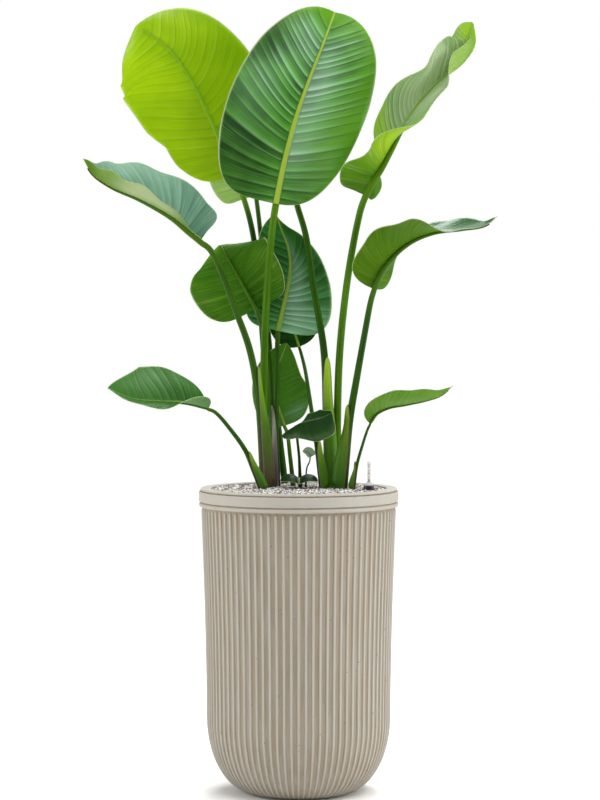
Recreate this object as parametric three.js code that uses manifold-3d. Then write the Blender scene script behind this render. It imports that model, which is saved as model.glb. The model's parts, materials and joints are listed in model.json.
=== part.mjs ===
// A giant bird of paradise (Strelitzia nicolai) growing in a tall ribbed planter.
// Millimetres, +Z up, front towards -Y. The origin is the centre of the planter's flat foot.
import * as THREE from "three";
import { mergeVertices } from "three/addons/utils/BufferGeometryUtils.js";
import Module from "manifold-3d";

const wasm = await Module();
wasm.setup();

// ---- Driving dimensions -------------------------------------------------------------------

const CLEARANCE = 0.3; // between touching pieces

const planterSize = {
  height: 550,
  rimRadius: 180,
  openingRadius: 158,
  footRadius: 85,
  cornerHeight: 135, // height of the rounded lower corner
  lowerRadius: 166.5, // body just above the corner
  upperRadius: 176, // body just under the rim
  ribs: 82,
  ribDepth: 3.2,
  ribTop: 515,
  wall: 12,
  floor: 26,
};

const rimSize = {
  topBead: 4.5,
  topBeadRadius: 177.5,
  band: 18,
  lowerBead: 8.5,
  groove: 1.5,
  grooveDepth: 2,
};

const substrateSize = {
  top: 546, // mean level of the granules
  relief: 1.6, // height of the granules over and under that level
  rings: 10,
  segments: 40,
};

const gaugeSize = {
  x: 126,
  y: -33,
  riserRadius: 8,
  capRadius: 9.5,
  capHeight: 6.5, // above the substrate
  wall: 2,
  bottom: 92,
  domeHeight: 10.5,
  tubeRadius: 3.3,
  tubeBore: 2.1,
  tubeTop: 599,
  floatRadius: 5.2,
  floatLength: 70,
  rodRadius: 0.9,
  tipRadius: 1.5,
  tipLength: 4,
};

const bladeThickness = 1.2;
const plantedDepth = 65; // how far a petiole reaches into the substrate
const midribShare = 0.93; // share of a blade that its midrib runs along

// Each leaf grows from `root`, [x, y] on the substrate. `petiole` leads from there to the blade and
// `midrib` from the blade's base to its tip. `faces` are the directions of the upper side from base
// to tip. `left` and `right` are the halves seen from the upper side with the tip up: half width,
// how slender the base and the tip are, then the rise in degrees at the midrib and at the margin,
// from base to tip. `lobe` is how far the base reaches back, as a share of the length, and a half
// may have its own. `ripple` is the height and number of the margin's waves, and `nicks` the cuts in
// it: on which half, at what share of the length, and how deep. `radii` are the petiole's at the
// root, below the blade and at the end of the midrib, and `sheath` the share of the petiole that its
// sheath covers, how far that stands out, and towards which heading in degrees.
const leaves = {
  crown: {
    root: [-62, 78],
    petiole: [[-63, 62, 700], [-62, 50, 815], [-56, 42, 925], [-48, 28, 1015], [-43, 19, 1050]],
    midrib: [[-41, 16, 1062], [-25, 13, 1140], [-3, 15, 1222], [19, 20, 1285], [44, 32, 1350],
      [66, 62, 1412]],
    faces: [[0, -1, 0.1], [0, -1, 0.05], [0.1, -1, 0.35]],
    left: { width: 130, outline: [0.3, 0.45], fold: [15, 20, 20], curl: [0, -8, -20] },
    right: { width: 124, outline: [0.5, 0.42], fold: [22, 26, 20], curl: [-25, -30, -35] },
    lobe: 0.03, ripple: [3, 3], rows: 13, columns: 4,
    radii: [9, 6.2, 1.4], sheath: [0.2, 0, 0], colour: 0x4f8f36,
  },
  upper_left: {
    root: [-49, 128],
    petiole: [[-58, 134, 690], [-68, 142, 835], [-83, 140, 1000], [-98, 138, 1065], [-112, 134, 1102]],
    midrib: [[-120, 130, 1118], [-145, 112, 1183], [-165, 100, 1228], [-199, 86, 1295],
      [-236, 80, 1346], [-276, 92, 1377], [-302, 118, 1390]],
    faces: [[0.1, 1, 0.2], [0.1, 1, 0.1], [0.35, 0.9, -0.2]],
    left: { width: 124, outline: [0.4, 0.5], fold: [12, 24, 20], curl: [10, 20, 50] },
    right: { width: 127, outline: [0.42, 0.24], fold: [4, 4, 4], curl: [-8, 0, 15] },
    lobe: 0.04, ripple: [3.5, 4], rows: 13, columns: 4,
    nicks: [["right", 0.2, 0.08]],
    radii: [7.5, 5, 1.2], sheath: [0.2, 0, 0], colour: 0x8fbc00,
  },
  back_left: {
    root: [-26, 136],
    petiole: [[-57, 158, 833], [-70, 160, 1001], [-77, 158, 1064]],
    midrib: [[-79, 158, 1084], [-93, 172, 1150], [-108, 198, 1226], [-118, 235, 1285]],
    faces: [[0.1, 1, 0.1], [0.1, 1, -0.3], [0.1, 0.9, -0.6]],
    left: { width: 58, outline: [0.36, 0.6], fold: [10, 10, 10], curl: [0, 0, 10] },
    right: { width: 82, outline: [0.36, 0.6], fold: [0, 5, 10], curl: [-10, 0, 10] },
    lobe: 0.1, ripple: [2, 3], rows: 10, columns: 3,
    radii: [6.5, 4.2, 1.1], sheath: [0.2, 0, 0], colour: 0xa6c46e,
  },
  back: {
    root: [56, 37],
    petiole: [[51, 44, 690], [46, 48, 797], [28, 56, 907], [13, 62, 1007], [0, 68, 1052]],
    midrib: [[-4, 72, 1068], [6, 92, 1130], [20, 132, 1215], [34, 182, 1285]],
    faces: [[0, -1, 0.15], [0, -1, 0.4], [0, -0.9, 0.8]],
    left: { width: 46, outline: [0.7, 0.6], fold: [20, 20, 20], curl: [0, 0, -20] },
    right: { width: 46, outline: [0.7, 0.6], fold: [20, 20, 20], curl: [0, 0, -20] },
    lobe: 0.06, ripple: [2, 3], rows: 10, columns: 3,
    radii: [9.5, 5.4, 1.1], sheath: [0.42, 7, 20], colour: 0x3f7f2c,
  },
  upper_right: {
    root: [69, 62],
    petiole: [[74, 45, 779], [86, 25, 907], [100, 8, 996], [112, -7, 1052]],
    midrib: [[121, -12, 1075], [139, -18, 1112], [160, -20, 1152], [184, -12, 1196], [218, 5, 1244],
      [258, 20, 1287], [296, 28, 1318], [317, 38, 1352], [314, 50, 1393]],
    faces: [[0.1, 1, 0], [-0.8, 0.2, 0.2], [-0.6, -0.8, 0.3], [-0.2, -1, 0.1], [0, -1, 0.1],
      [0.1, -1, 0]],
    left: { width: 58, outline: [0.6, 0.35], fold: [50, 45, 40, 60, 10, 10],
      curl: [60, 45, 50, 75, 15, 10] },
    right: { width: 66, outline: [0.3, 0.8], fold: [10, 10, 20, 50, 140, 150],
      curl: [-10, 20, 40, 70, 150, 160] },
    lobe: 0.08, ripple: [3, 4], rows: 15, columns: 4,
    radii: [8.5, 6, 1.1], sheath: [0.2, 0, 0], colour: 0x6f9a60,
  },
  left: {
    root: [-60, 26],
    petiole: [[-72, 22, 707], [-88, 10, 798], [-113, -5, 870], [-138, -14, 938], [-160, -21, 980]],
    midrib: [[-174, -25, 997], [-194, -32, 1012], [-224, -46, 1036], [-279, -78, 1066],
      [-330, -110, 1087], [-360, -132, 1108], [-375, -142, 1134]],
    faces: [[0.5, -0.2, 0.8], [0.3, -0.15, 0.9], [0.3, -0.1, 1], [0.6, 0, 0.8]],
    left: { width: 27, outline: [1.3, 0.6], fold: [85, 80, 90, 90], curl: [80, 75, 115, 120],
      lobe: 0.04 },
    right: { width: 75, outline: [0.4, 0.72], fold: [62, 62, 58, 50], curl: [55, 55, 50, 50] },
    lobe: 0.1, ripple: [3, 4], rows: 14, columns: 4,
    radii: [10, 5.4, 1.2], sheath: [0.42, 8, 15], colour: 0x5f9a78,
  },
  right: {
    root: [78, 3],
    petiole: [[92, 0, 672], [104, -8, 744], [118, -22, 825], [129, -33, 885]],
    midrib: [[134, -38, 908], [146, -46, 938], [167, -56, 966], [199, -70, 992], [238, -88, 1007],
      [286, -108, 1012], [327, -122, 1018], [348, -128, 1034]],
    faces: [[-0.2, 1, 0.1], [-0.5, 0.7, 0.5], [-0.2, 0.2, 1], [0, 0, 1], [-0.2, 0, 1]],
    left: { width: 55, outline: [0.38, 0.7], fold: [45, 35, 30, 35, 35], curl: [50, 40, 35, 40, 40] },
    right: { width: 72, outline: [0.5, 0.85], fold: [0, 5, 15, -5, 0], curl: [0, 10, 20, -10, 0],
      lobe: 0.02 },
    lobe: 0.06, ripple: [2.5, 4], rows: 14, columns: 4,
    radii: [10.5, 5, 1.1], sheath: [0.34, 9, 170], colour: 0x4f8a10,
  },
  mid_left: {
    root: [-47, 91],
    petiole: [[-49, 92, 690], [-57, 94, 797], [-68, 93, 843], [-75, 92, 862]],
    midrib: [[-78, 92, 872], [-91, 88, 896], [-113, 84, 936], [-129, 90, 964], [-141, 108, 984],
      [-148, 132, 990]],
    faces: [[0.1, 1, 0.1], [0.1, 1, 0.1], [0.3, 0.8, -0.5]],
    left: { width: 82, outline: [0.3, 0.36], fold: [-2, -5, 30], curl: [-15, -15, 70] },
    right: { width: 96, outline: [0.36, 0.45], fold: [8, 8, 10], curl: [0, 0, 15] },
    lobe: 0.06, ripple: [2.5, 3], rows: 12, columns: 4,
    radii: [6, 4.2, 1.1], sheath: [0.2, 0, 0], colour: 0x477d06,
  },
  middle: {
    root: [-41, 50],
    petiole: [[-42, 64, 651], [-40, 86, 760], [-39, 97, 812]],
    midrib: [[-38, 101, 832], [-27, 103, 881], [-18, 107, 926], [-16, 113, 959], [-21, 121, 989],
      [-32, 131, 1018], [-42, 142, 1048]],
    faces: [[0, -1, 0.1], [0.1, -1, 0.15], [0.2, -1, 0.3]],
    left: { width: 78, outline: [0.36, 0.6], fold: [0, -4, 0], curl: [-20, -14, 0] },
    right: { width: 90, outline: [0.5, 1.45], fold: [18, 22, 25], curl: [-10, -20, -20] },
    lobe: 0.05, ripple: [2, 3], rows: 12, columns: 4,
    radii: [8, 4.4, 1.2], sheath: [0.3, 6, 160], colour: 0x2c6a26,
  },
  inner: {
    root: [44, 8],
    petiole: [[33, 20, 626], [22, 46, 697], [12, 82, 760], [4, 116, 792]],
    midrib: [[1, 128, 802], [-9, 138, 833], [-24, 152, 874], [-39, 172, 911]],
    faces: [[0, -1, 0.2], [0, -1, 0.4], [0, -1, 0.6]],
    left: { width: 45, outline: [0.45, 0.6], fold: [20, 20, 20], curl: [0, 0, 0] },
    right: { width: 50, outline: [0.45, 0.6], fold: [20, 20, 20], curl: [-10, -10, 0] },
    lobe: 0.02, ripple: [1.5, 3], rows: 8, columns: 3,
    radii: [7, 2.8, 0.9], sheath: [0.3, 5, 0], colour: 0x1e5200,
  },
  lower_middle: {
    root: [-10, 72],
    petiole: [[-16, 80, 604], [-21, 94, 643]],
    midrib: [[-26, 98, 657], [-40, 107, 704], [-42, 112, 750], [-22, 113, 809]],
    faces: [[0.1, -1, 0.1], [0.1, -1, 0.1], [0.1, -1, 0.1]],
    left: { width: 44, outline: [0.45, 0.7], fold: [0, 0, 0], curl: [-12, -12, 0] },
    right: { width: 61, outline: [0.45, 0.8], fold: [5, 5, 5], curl: [5, 5, 5] },
    lobe: 0.03, ripple: [1.5, 3], rows: 9, columns: 3,
    radii: [5, 3.4, 0.9], sheath: [0.2, 0, 0], colour: 0x3e7a12,
  },
  low_left: {
    root: [-66, -6],
    petiole: [[-80, -8, 582], [-96, -14, 618], [-120, -25, 653], [-150, -40, 688]],
    midrib: [[-162, -46, 697], [-200, -62, 706], [-246, -80, 709], [-289, -94, 713],
      [-337, -108, 733]],
    faces: [[0.4, -0.4, 0.8], [0.1, -0.3, 1], [0, -0.3, 1]],
    left: { width: 36, outline: [0.4, 0.8], fold: [60, 0, -5], curl: [110, -10, 0] },
    right: { width: 72, outline: [1.1, 0.85], fold: [55, 50, 45], curl: [40, 40, 45] },
    lobe: 0.04, ripple: [2, 3], rows: 11, columns: 3,
    radii: [7, 3.2, 0.9], sheath: [0.4, 5, 0], colour: 0x3e7d33,
  },
  low_right: {
    root: [98, -8],
    petiole: [[105, -8, 591], [115, -11, 627], [124, -14, 655]],
    midrib: [[128, -16, 667], [139, -20, 683], [161, -28, 695], [191, -40, 701], [227, -54, 709],
      [253, -64, 718], [274, -72, 736]],
    faces: [[-0.4, 0.9, 0.3], [-0.4, 0.5, 0.8], [0, 0.1, 1], [0, 0, 1]],
    left: { width: 22, outline: [0.4, 0.9], fold: [45, 40, 50, 60], curl: [60, 50, 60, 60] },
    right: { width: 38, outline: [0.6, 0.9], fold: [5, 20, 45, 50], curl: [0, 35, 45, 50] },
    lobe: 0.01, ripple: [1.5, 3], rows: 11, columns: 3,
    radii: [4.5, 2.3, 0.8], sheath: [0.3, 3.5, 180], colour: 0x4e8a12,
  },
  cupped: {
    root: [3, 47],
    petiole: [[1, 42, 600], [-3, 26, 641]],
    midrib: [[-6, 16, 660], [4, 7, 666], [22, -1, 671], [42, -7, 676], [61, -10, 685]],
    faces: [[0, -0.3, 1], [0, -0.2, 1], [-0.2, -0.2, 1]],
    left: { width: 30, outline: [0.3, 0.5], fold: [5, 15, 20], curl: [0, 40, 60], lobe: 0.4 },
    right: { width: 46, outline: [0.9, 0.4], fold: [-20, -30, -30], curl: [-100, -100, -80] },
    lobe: 0.5, ripple: [1.5, 3], rows: 9, columns: 3,
    radii: [4, 2.2, 0.9], sheath: [0.2, 0, 0], colour: 0x1e5a10,
  },
  seedling: {
    root: [3, 22],
    petiole: [[3, 23, 556]],
    midrib: [[2, 22, 565], [1, 8, 567], [1, -8, 564], [1, -20, 557]],
    faces: [[0, -0.2, 1], [0, -0.2, 1], [0, -0.6, 0.8]],
    left: { width: 40, outline: [0.3, 0.3], fold: [50, 50, 40], curl: [-70, -75, -60] },
    right: { width: 40, outline: [0.3, 0.3], fold: [50, 50, 40], curl: [-70, -75, -60] },
    lobe: 0.1, ripple: [1, 2], rows: 6, columns: 3,
    radii: [2, 1.5, 0.8], sheath: [0.2, 0, 0], colour: 0x1b4a00,
  },
  sprout: {
    root: [13, 36],
    petiole: [[15, 36, 583], [20, 33, 595]],
    midrib: [[22, 28, 604], [20, 26, 609], [15, 24, 613], [7, 22, 614]],
    faces: [[0.1, -1, 0.4], [0.1, -1, 0.4], [0.1, -1, 0.4]],
    left: { width: 7, outline: [0.45, 0.8], fold: [15, 15, 15], curl: [5, 5, 5] },
    right: { width: 11, outline: [0.45, 0.8], fold: [15, 15, 15], curl: [5, 5, 5] },
    lobe: 0.05, ripple: [0.4, 2], rows: 7, columns: 2,
    radii: [2.2, 1.2, 0.6], sheath: [0.2, 0, 0], colour: 0x6d9a6d,
  },
};

// ---- Helpers ------------------------------------------------------------------------------

const { degToRad, lerp, clamp, smoothstep } = THREE.MathUtils;

// A value that changes smoothly along a list of evenly spaced stations, at share u from 0 to 1.
function along(values, u) {
  const at = clamp(u, 0, 1) * (values.length - 1);
  const i = Math.min(Math.floor(at), values.length - 2);
  const ease = smoothstep(at - i, 0, 1);
  return values.length === 1 ? values[0] : lerp(values[i], values[i + 1], ease);
}

function vectorAlong(vectors, u) {
  return new THREE.Vector3(...[0, 1, 2].map((k) => along(vectors.map((v) => v[k]), u)));
}

function indexed(points, triangles) {
  const geometry = new THREE.BufferGeometry().setFromPoints(points);
  geometry.setIndex(triangles.filter(([a, b, c]) => a !== b && b !== c && c !== a).flat());
  return geometry;
}

// A closed skin over rings of points that all turn the same way, with a fan over each end.
function skin(rings) {
  const count = rings[0].length;
  const points = rings.flat();
  const triangles = [];
  for (let i = 0; i + 1 < rings.length; i++)
    for (let j = 0; j < count; j++) {
      const a = i * count + j;
      const b = i * count + ((j + 1) % count);
      triangles.push([a, b, b + count], [a, b + count, a + count]);
    }
  const middle = (ring) => ring.reduce((sum, p) => sum.add(p), new THREE.Vector3()).divideScalar(count);
  const last = (rings.length - 1) * count;
  points.push(middle(rings[0]), middle(rings[rings.length - 1]));
  for (let j = 0; j < count; j++) {
    const next = (j + 1) % count;
    triangles.push([points.length - 2, next, j], [points.length - 1, last + j, last + next]);
  }
  return indexed(points, triangles);
}

function solidOf(geometry) {
  const plain = geometry.clone();
  plain.deleteAttribute("normal");
  plain.deleteAttribute("uv");
  const merged = mergeVertices(plain, 1e-4);
  return new wasm.Manifold(new wasm.Mesh({
    numProp: 3,
    vertProperties: merged.attributes.position.array,
    triVerts: new Uint32Array(merged.index.array),
  }));
}

function geometryOf(solid) {
  const mesh = solid.getMesh();
  const geometry = new THREE.BufferGeometry();
  geometry.setAttribute("position", new THREE.BufferAttribute(mesh.vertProperties, 3));
  geometry.setIndex(new THREE.BufferAttribute(mesh.triVerts, 1));
  return geometry;
}

// A solid turned about the vertical axis from [radius, height] points, bottom first.
function turned(profile, segments) {
  const lathe = new THREE.LatheGeometry(profile.map(([r, z]) => new THREE.Vector2(r, z)), segments);
  return lathe.rotateX(Math.PI / 2);
}

function placed(geometry, x, y) {
  return geometry.translate(x, y, 0);
}

const part = new THREE.Group();

function add(name, geometry, colour, roughness = 0.6) {
  const material = new THREE.MeshStandardMaterial({ color: colour, roughness, metalness: 0 });
  const mesh = new THREE.Mesh(geometry, material);
  mesh.name = name;
  part.add(mesh);
}

// ---- Planter ------------------------------------------------------------------------------

// The body's radius at a height: a quarter of an ellipse up to cornerHeight, then a slow flare.
function bodyRadius(z) {
  const { footRadius, lowerRadius, upperRadius, cornerHeight, ribTop } = planterSize;
  if (z < cornerHeight)
    return footRadius + (lowerRadius - footRadius) * Math.sqrt(1 - (1 - z / cornerHeight) ** 2);
  const rise = (z - cornerHeight) / (ribTop - cornerHeight);
  return lowerRadius + (upperRadius - lowerRadius) * rise ** 1.6;
}

function ribbedBody() {
  const { ribs, ribDepth, cornerHeight, ribTop } = planterSize;
  const heights = [0, 4, 16, 40, 80, cornerHeight, 320, ribTop];
  const rings = heights.map((z) => {
    const depth = ribDepth * smoothstep(z, -2, 20);
    return Array.from({ length: ribs * 2 }, (_, j) => {
      const angle = (j * Math.PI) / ribs;
      const radius = bodyRadius(z) - (j % 2) * depth;
      return new THREE.Vector3(radius * Math.cos(angle), radius * Math.sin(angle), z);
    });
  });
  return solidOf(skin(rings));
}

// The rim: a top bead, a groove, a broad band, a groove and a lower bead.
function rimSolid() {
  const { height, rimRadius, ribTop, openingRadius } = planterSize;
  const { topBead, topBeadRadius, band, lowerBead, groove, grooveDepth } = rimSize;
  const bandTop = height - topBead - groove;
  const bandBottom = bandTop - band;
  const beadTop = bandBottom - groove;
  const beadBottom = beadTop - lowerBead;
  const inner = openingRadius - 8;
  return solidOf(turned([
    [0, ribTop - 3],
    [planterSize.upperRadius - 4, ribTop - 3],
    [planterSize.upperRadius - 1, beadBottom],
    [rimRadius - 1.5, beadBottom + 1],
    [rimRadius, beadBottom + lowerBead / 2],
    [rimRadius - grooveDepth, beadTop + groove / 2],
    [rimRadius, bandBottom + 0.5],
    [rimRadius, bandTop - 0.5],
    [topBeadRadius - grooveDepth, bandTop + groove / 2],
    [topBeadRadius, height - topBead / 2],
    [topBeadRadius - 2, height],
    [inner, height],
    [0, height],
  ], 64));
}

// The inside follows the body one wall thickness in, up to the opening.
function cavityProfile(inset, top) {
  const { wall, floor, openingRadius } = planterSize;
  const heights = [floor + inset, floor + 10, floor + 30, floor + 65, floor + 115];
  const sides = heights.map((z) => {
    const radius = Math.min(bodyRadius(z - floor / 2) - wall, openingRadius);
    return [radius - inset, z];
  });
  return [[0, floor + inset], ...sides, [openingRadius - inset, top], [0, top]];
}

function planter() {
  const above = planterSize.height + 5;
  const cavity = solidOf(turned(cavityProfile(0, above), substrateSize.segments));
  return geometryOf(ribbedBody().add(rimSolid()).subtract(cavity));
}

// ---- Leaves -------------------------------------------------------------------------------

// A smooth curve through points, with the direction of the upper side at each share u of it.
function leafSpine(leaf) {
  const curve = new THREE.CatmullRomCurve3(leaf.midrib.map((p) => new THREE.Vector3(...p)));
  curve.arcLengthDivisions = 400;
  const length = curve.getLength();
  function frame(u) {
    const inside = clamp(u, 0, 1);
    const forward = curve.getTangentAt(inside);
    const point = curve.getPointAt(inside).addScaledVector(forward, (u - inside) * length);
    const up = vectorAlong(leaf.faces, inside);
    up.addScaledVector(forward, -up.dot(forward)).normalize();
    return { point, forward, up, side: new THREE.Vector3().crossVectors(forward, up) };
  }
  return { length, frame };
}

const gutter = 3; // the strip on each side of the midrib that stays level with it

// The rows of a blade stand closer together near its base and its tip.
function rowAt(leaf, i) {
  const x = i / leaf.rows;
  return lerp(x, (1 - Math.cos(Math.PI * x)) / 2, 0.6);
}

// A point of the blade: s runs along the midrib and tells veins apart, and a runs from the
// midrib, 0, out to the margin, 1, on the half that `sign` names: -1 left, 1 right.
function bladePoint(leaf, spine, s, a, sign) {
  const half = sign < 0 ? leaf.left : leaf.right;
  const [p, q] = half.outline;
  const swept = s + 0.17 * Math.sin(Math.PI * s);
  const peak = p / (p + q);
  const nearBase = s / 0.09;
  const marginAt = swept - (half.lobe ?? leaf.lobe) * Math.E * nearBase * Math.exp(-nearBase);
  const share = ((swept / peak) ** p) * (((1 - swept) / (1 - peak)) ** q);
  const nick = (leaf.nicks ?? [])
    .filter(([name, at]) => (name === "left") === (sign < 0) && Math.abs(at - s) < 0.5 / leaf.rows)
    .reduce((sum, [, , depth]) => sum + depth, 0);
  const out = half.width * share * (1 - nick) * a;
  const veinAt = s * midribShare;
  const u = veinAt + (marginAt - veinAt) * a ** 1.6;
  const { point, up, side } = spine.frame(u);
  const start = degToRad(along(half.fold, u));
  const turn = degToRad(along(half.curl, u)) - start;
  const bent = Math.max(out - gutter, 0) / half.width;
  const over = Math.abs(turn) < 1e-3 ? bent * Math.cos(start)
    : (Math.sin(start + turn * bent) - Math.sin(start)) / turn;
  const rise = Math.abs(turn) < 1e-3 ? bent * Math.sin(start)
    : (Math.cos(start) - Math.cos(start + turn * bent)) / turn;
  const [height, waves] = leaf.ripple;
  const ripple = height * a * a * share * Math.sin(2 * Math.PI * waves * swept + (sign < 0 ? 1 : 0));
  point.addScaledVector(side, sign * (Math.min(out, gutter) + over * half.width));
  return point.addScaledVector(up, rise * half.width + ripple);
}

// The blade: its middle surface as a grid from margin to margin, then a face on each side of it
// and a rim round the margin. All veins leave the base at one point and the tip closes on one line.
function blade(leaf) {
  const spine = leafSpine(leaf);
  const { rows, columns } = leaf;
  const places = [];
  const index = new Map();
  function at(i, j) {
    const key = i === 0 ? "base" : i === rows ? `tip${Math.abs(j)}` : `${i},${j}`;
    if (!index.has(key)) {
      index.set(key, places.length);
      const a = (Math.abs(j) / columns) ** 0.9;
      places.push(bladePoint(leaf, spine, rowAt(leaf, i), a, Math.sign(j) || 1));
    }
    return index.get(key);
  }
  const faces = [];
  for (let i = 0; i < rows; i++)
    for (let j = -columns; j < columns; j++) {
      const [a, b, c, d] = [at(i, j), at(i, j + 1), at(i + 1, j), at(i + 1, j + 1)];
      faces.push([a, b, d], [a, d, c]);
    }
  const kept = faces.filter(([a, b, c]) => a !== b && b !== c && c !== a);
  const middle = indexed(places, kept);
  middle.computeVertexNormals();
  const normals = middle.getAttribute("normal");
  const offset = (k, distance) =>
    places[k].clone().addScaledVector(new THREE.Vector3().fromBufferAttribute(normals, k), distance);
  const count = places.length;
  const points = [
    ...places.map((_, k) => offset(k, bladeThickness / 2)),
    ...places.map((_, k) => offset(k, -bladeThickness / 2)),
  ];
  const triangles = [...kept, ...kept.map(([a, b, c]) => [a + count, c + count, b + count])];
  const margin = [at(0, 0)];
  for (let i = 1; i <= rows; i++) margin.push(at(i, columns));
  for (let i = rows - 1; i > 0; i--) margin.push(at(i, -columns));
  margin.forEach((a, k) => {
    const b = margin[(k + 1) % margin.length];
    triangles.push([b, a, a + count], [b, a + count, b + count]);
  });
  return indexed(points, triangles);
}

const stalkSides = 6;

// The petiole with its sheath, going on as the midrib under the blade, in one tapering piece.
function stalk(leaf, depth) {
  const spine = leafSpine(leaf);
  const [rootRadius, neckRadius, tipRadius] = leaf.radii;
  const [sheathShare, sheathGrowth, sheathTurn] = leaf.sheath;
  const surface = substrateSize.top;
  const base = spine.frame(0);
  const neck = base.point.clone().addScaledVector(
    base.up, -(bladeThickness / 2 + CLEARANCE + neckRadius));
  const [x, y] = leaf.root;
  const above = new THREE.CatmullRomCurve3([
    new THREE.Vector3(x, y, surface + 4),
    ...leaf.petiole.map((p) => new THREE.Vector3(...p)),
    neck,
  ]);
  const ring = (point, forward, up, radius, bulge) => {
    const side = new THREE.Vector3().crossVectors(forward, up).normalize();
    const top = new THREE.Vector3().crossVectors(side, forward).normalize();
    return Array.from({ length: stalkSides }, (_, k) => {
      const angle = (k * 2 * Math.PI) / stalkSides;
      const outward = top.clone().multiplyScalar(Math.cos(angle)).addScaledVector(side, Math.sin(angle));
      const extra = bulge * Math.max(0, Math.cos(Math.atan2(outward.y, outward.x) - degToRad(sheathTurn)));
      return point.clone().addScaledVector(outward, radius + extra);
    });
  };
  const vertical = new THREE.Vector3(0, 0, 1);
  const rootFace = new THREE.Vector3(leaf.faces[0][0], leaf.faces[0][1], 0);
  const rings = [
    ring(new THREE.Vector3(x, y, surface - depth), vertical, rootFace, rootRadius, 0),
    ring(new THREE.Vector3(x, y, surface + 2.5), vertical, rootFace, rootRadius, 0),
  ];
  const steps = Math.max(3, leaf.petiole.length * 2);
  for (let i = 1; i < steps; i++) {
    const t = i / steps;
    const slim = smoothstep(t, 0, sheathShare + 0.1);
    const radius = lerp(lerp(rootRadius, (rootRadius + neckRadius) / 2, slim), neckRadius, t);
    const bulge = sheathGrowth * (1 - smoothstep(t, sheathShare * 0.3, sheathShare));
    const up = rootFace.clone().lerp(base.up, t);
    rings.push(ring(above.getPointAt(t), above.getTangentAt(t), up, radius, bulge));
  }
  for (let i = 0; i < leaf.rows; i++) {
    const u = rowAt(leaf, i) * midribShare;
    const { point, forward, up } = spine.frame(u);
    const radius = lerp(neckRadius, tipRadius, u ** 0.8);
    const below = bladeThickness / 2 + CLEARANCE + radius;
    rings.push(ring(point.addScaledVector(up, -below), forward, up, radius, 0));
  }
  return skin(rings);
}

function plantedDepthOf(leaf) {
  return leaf.radii[0] < 3 ? plantedDepth / 3 : plantedDepth;
}

// ---- Substrate ----------------------------------------------------------------------------

// A repeatable pseudo-random number from 0 to 1 for a place on the surface.
function noise(i, j) {
  const value = Math.sin(i * 127.1 + j * 311.7) * 43758.5453;
  return value - Math.floor(value);
}

function substrate() {
  const { top, relief, rings, segments } = substrateSize;
  const profile = cavityProfile(CLEARANCE, top);
  const wallPoints = profile.slice(1, -1);
  const circle = (radius, z) => Array.from({ length: segments }, (_, j) => {
    const angle = (j * 2 * Math.PI) / segments;
    return new THREE.Vector3(radius * Math.sin(angle), -radius * Math.cos(angle), z);
  });
  const outer = wallPoints[wallPoints.length - 1][0];
  const surface = Array.from({ length: rings - 1 }, (_, i) => {
    const radius = (outer * (rings - 1 - i)) / rings;
    return circle(radius, top).map((p, j) => p.setZ(top + relief * (2 * noise(i, j) - 1)));
  });
  let fill = solidOf(skin([...wallPoints.map(([r, z]) => circle(r, z)), ...surface]));
  for (const leaf of Object.values(leaves)) {
    const hole = (leaf.radii[0] + CLEARANCE) / Math.cos(Math.PI / 12);
    const depth = plantedDepthOf(leaf) + CLEARANCE;
    const pin = turned([[0, top - depth], [hole, top - depth], [hole, top + 9], [0, top + 9]], 12);
    fill = fill.subtract(solidOf(placed(pin, ...leaf.root)));
  }
  const { x, y, riserRadius, capRadius, bottom } = gaugeSize;
  const shaft = turned([
    [0, bottom - CLEARANCE], [riserRadius + CLEARANCE, bottom - CLEARANCE],
    [riserRadius + CLEARANCE, top - 8 - CLEARANCE], [capRadius + CLEARANCE, top - 8 - CLEARANCE],
    [capRadius + CLEARANCE, top + 9], [0, top + 9],
  ], 16);
  return geometryOf(fill.subtract(solidOf(placed(shaft, x, y))));
}

// ---- Water-level gauge --------------------------------------------------------------------

const capTop = substrateSize.top + gaugeSize.capHeight;
const domeTop = capTop + gaugeSize.domeHeight;

// A dark tube down to the reservoir, with a wider cap at the surface that domes up to the sight tube.
function gaugeRiser() {
  const { x, y, riserRadius, capRadius, wall, bottom, tubeRadius, tubeBore } = gaugeSize;
  const bore = riserRadius - wall;
  const capBottom = substrateSize.top - 8;
  return placed(turned([
    [0, bottom], [riserRadius, bottom], [riserRadius, capBottom], [capRadius, capBottom],
    [capRadius, capTop], [capRadius - 0.6, capTop + 3.5], [capRadius - 2, capTop + 6.5],
    [tubeRadius + 1.6, domeTop - 1.2],
    [tubeRadius + 0.6, domeTop], [tubeBore, domeTop], [tubeBore, domeTop - 3], [bore, capTop],
    [bore, bottom + wall], [0, bottom + wall],
  ], 16), x, y);
}

// The clear sight tube stands on the cap's dome and is closed at the top.
function gaugeSightTube() {
  const { x, y, tubeRadius, tubeBore, tubeTop } = gaugeSize;
  const foot = domeTop + CLEARANCE;
  return placed(turned([
    [tubeBore, foot], [tubeRadius, foot], [tubeRadius, tubeTop - 1], [tubeRadius - 1, tubeTop],
    [0, tubeTop], [0, tubeTop - 2], [tubeBore, tubeTop - 2], [tubeBore, foot],
  ], 16), x, y);
}

// The float, its rod and the red tip that shows in the sight tube.
function gaugeFloat() {
  const { x, y, bottom, wall, floatRadius, floatLength, rodRadius, tipRadius, tipLength } = gaugeSize;
  const low = bottom + wall + CLEARANCE;
  return placed(turned([
    [0, low], [floatRadius - 1, low], [floatRadius, low + 1], [floatRadius, low + floatLength],
    [rodRadius, low + floatLength + 3], [rodRadius, domeTop], [tipRadius, domeTop + 0.6],
    [tipRadius, domeTop + tipLength], [0, domeTop + tipLength + 0.6],
  ], 12), x, y);
}

// ---- Assembly -----------------------------------------------------------------------------

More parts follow.
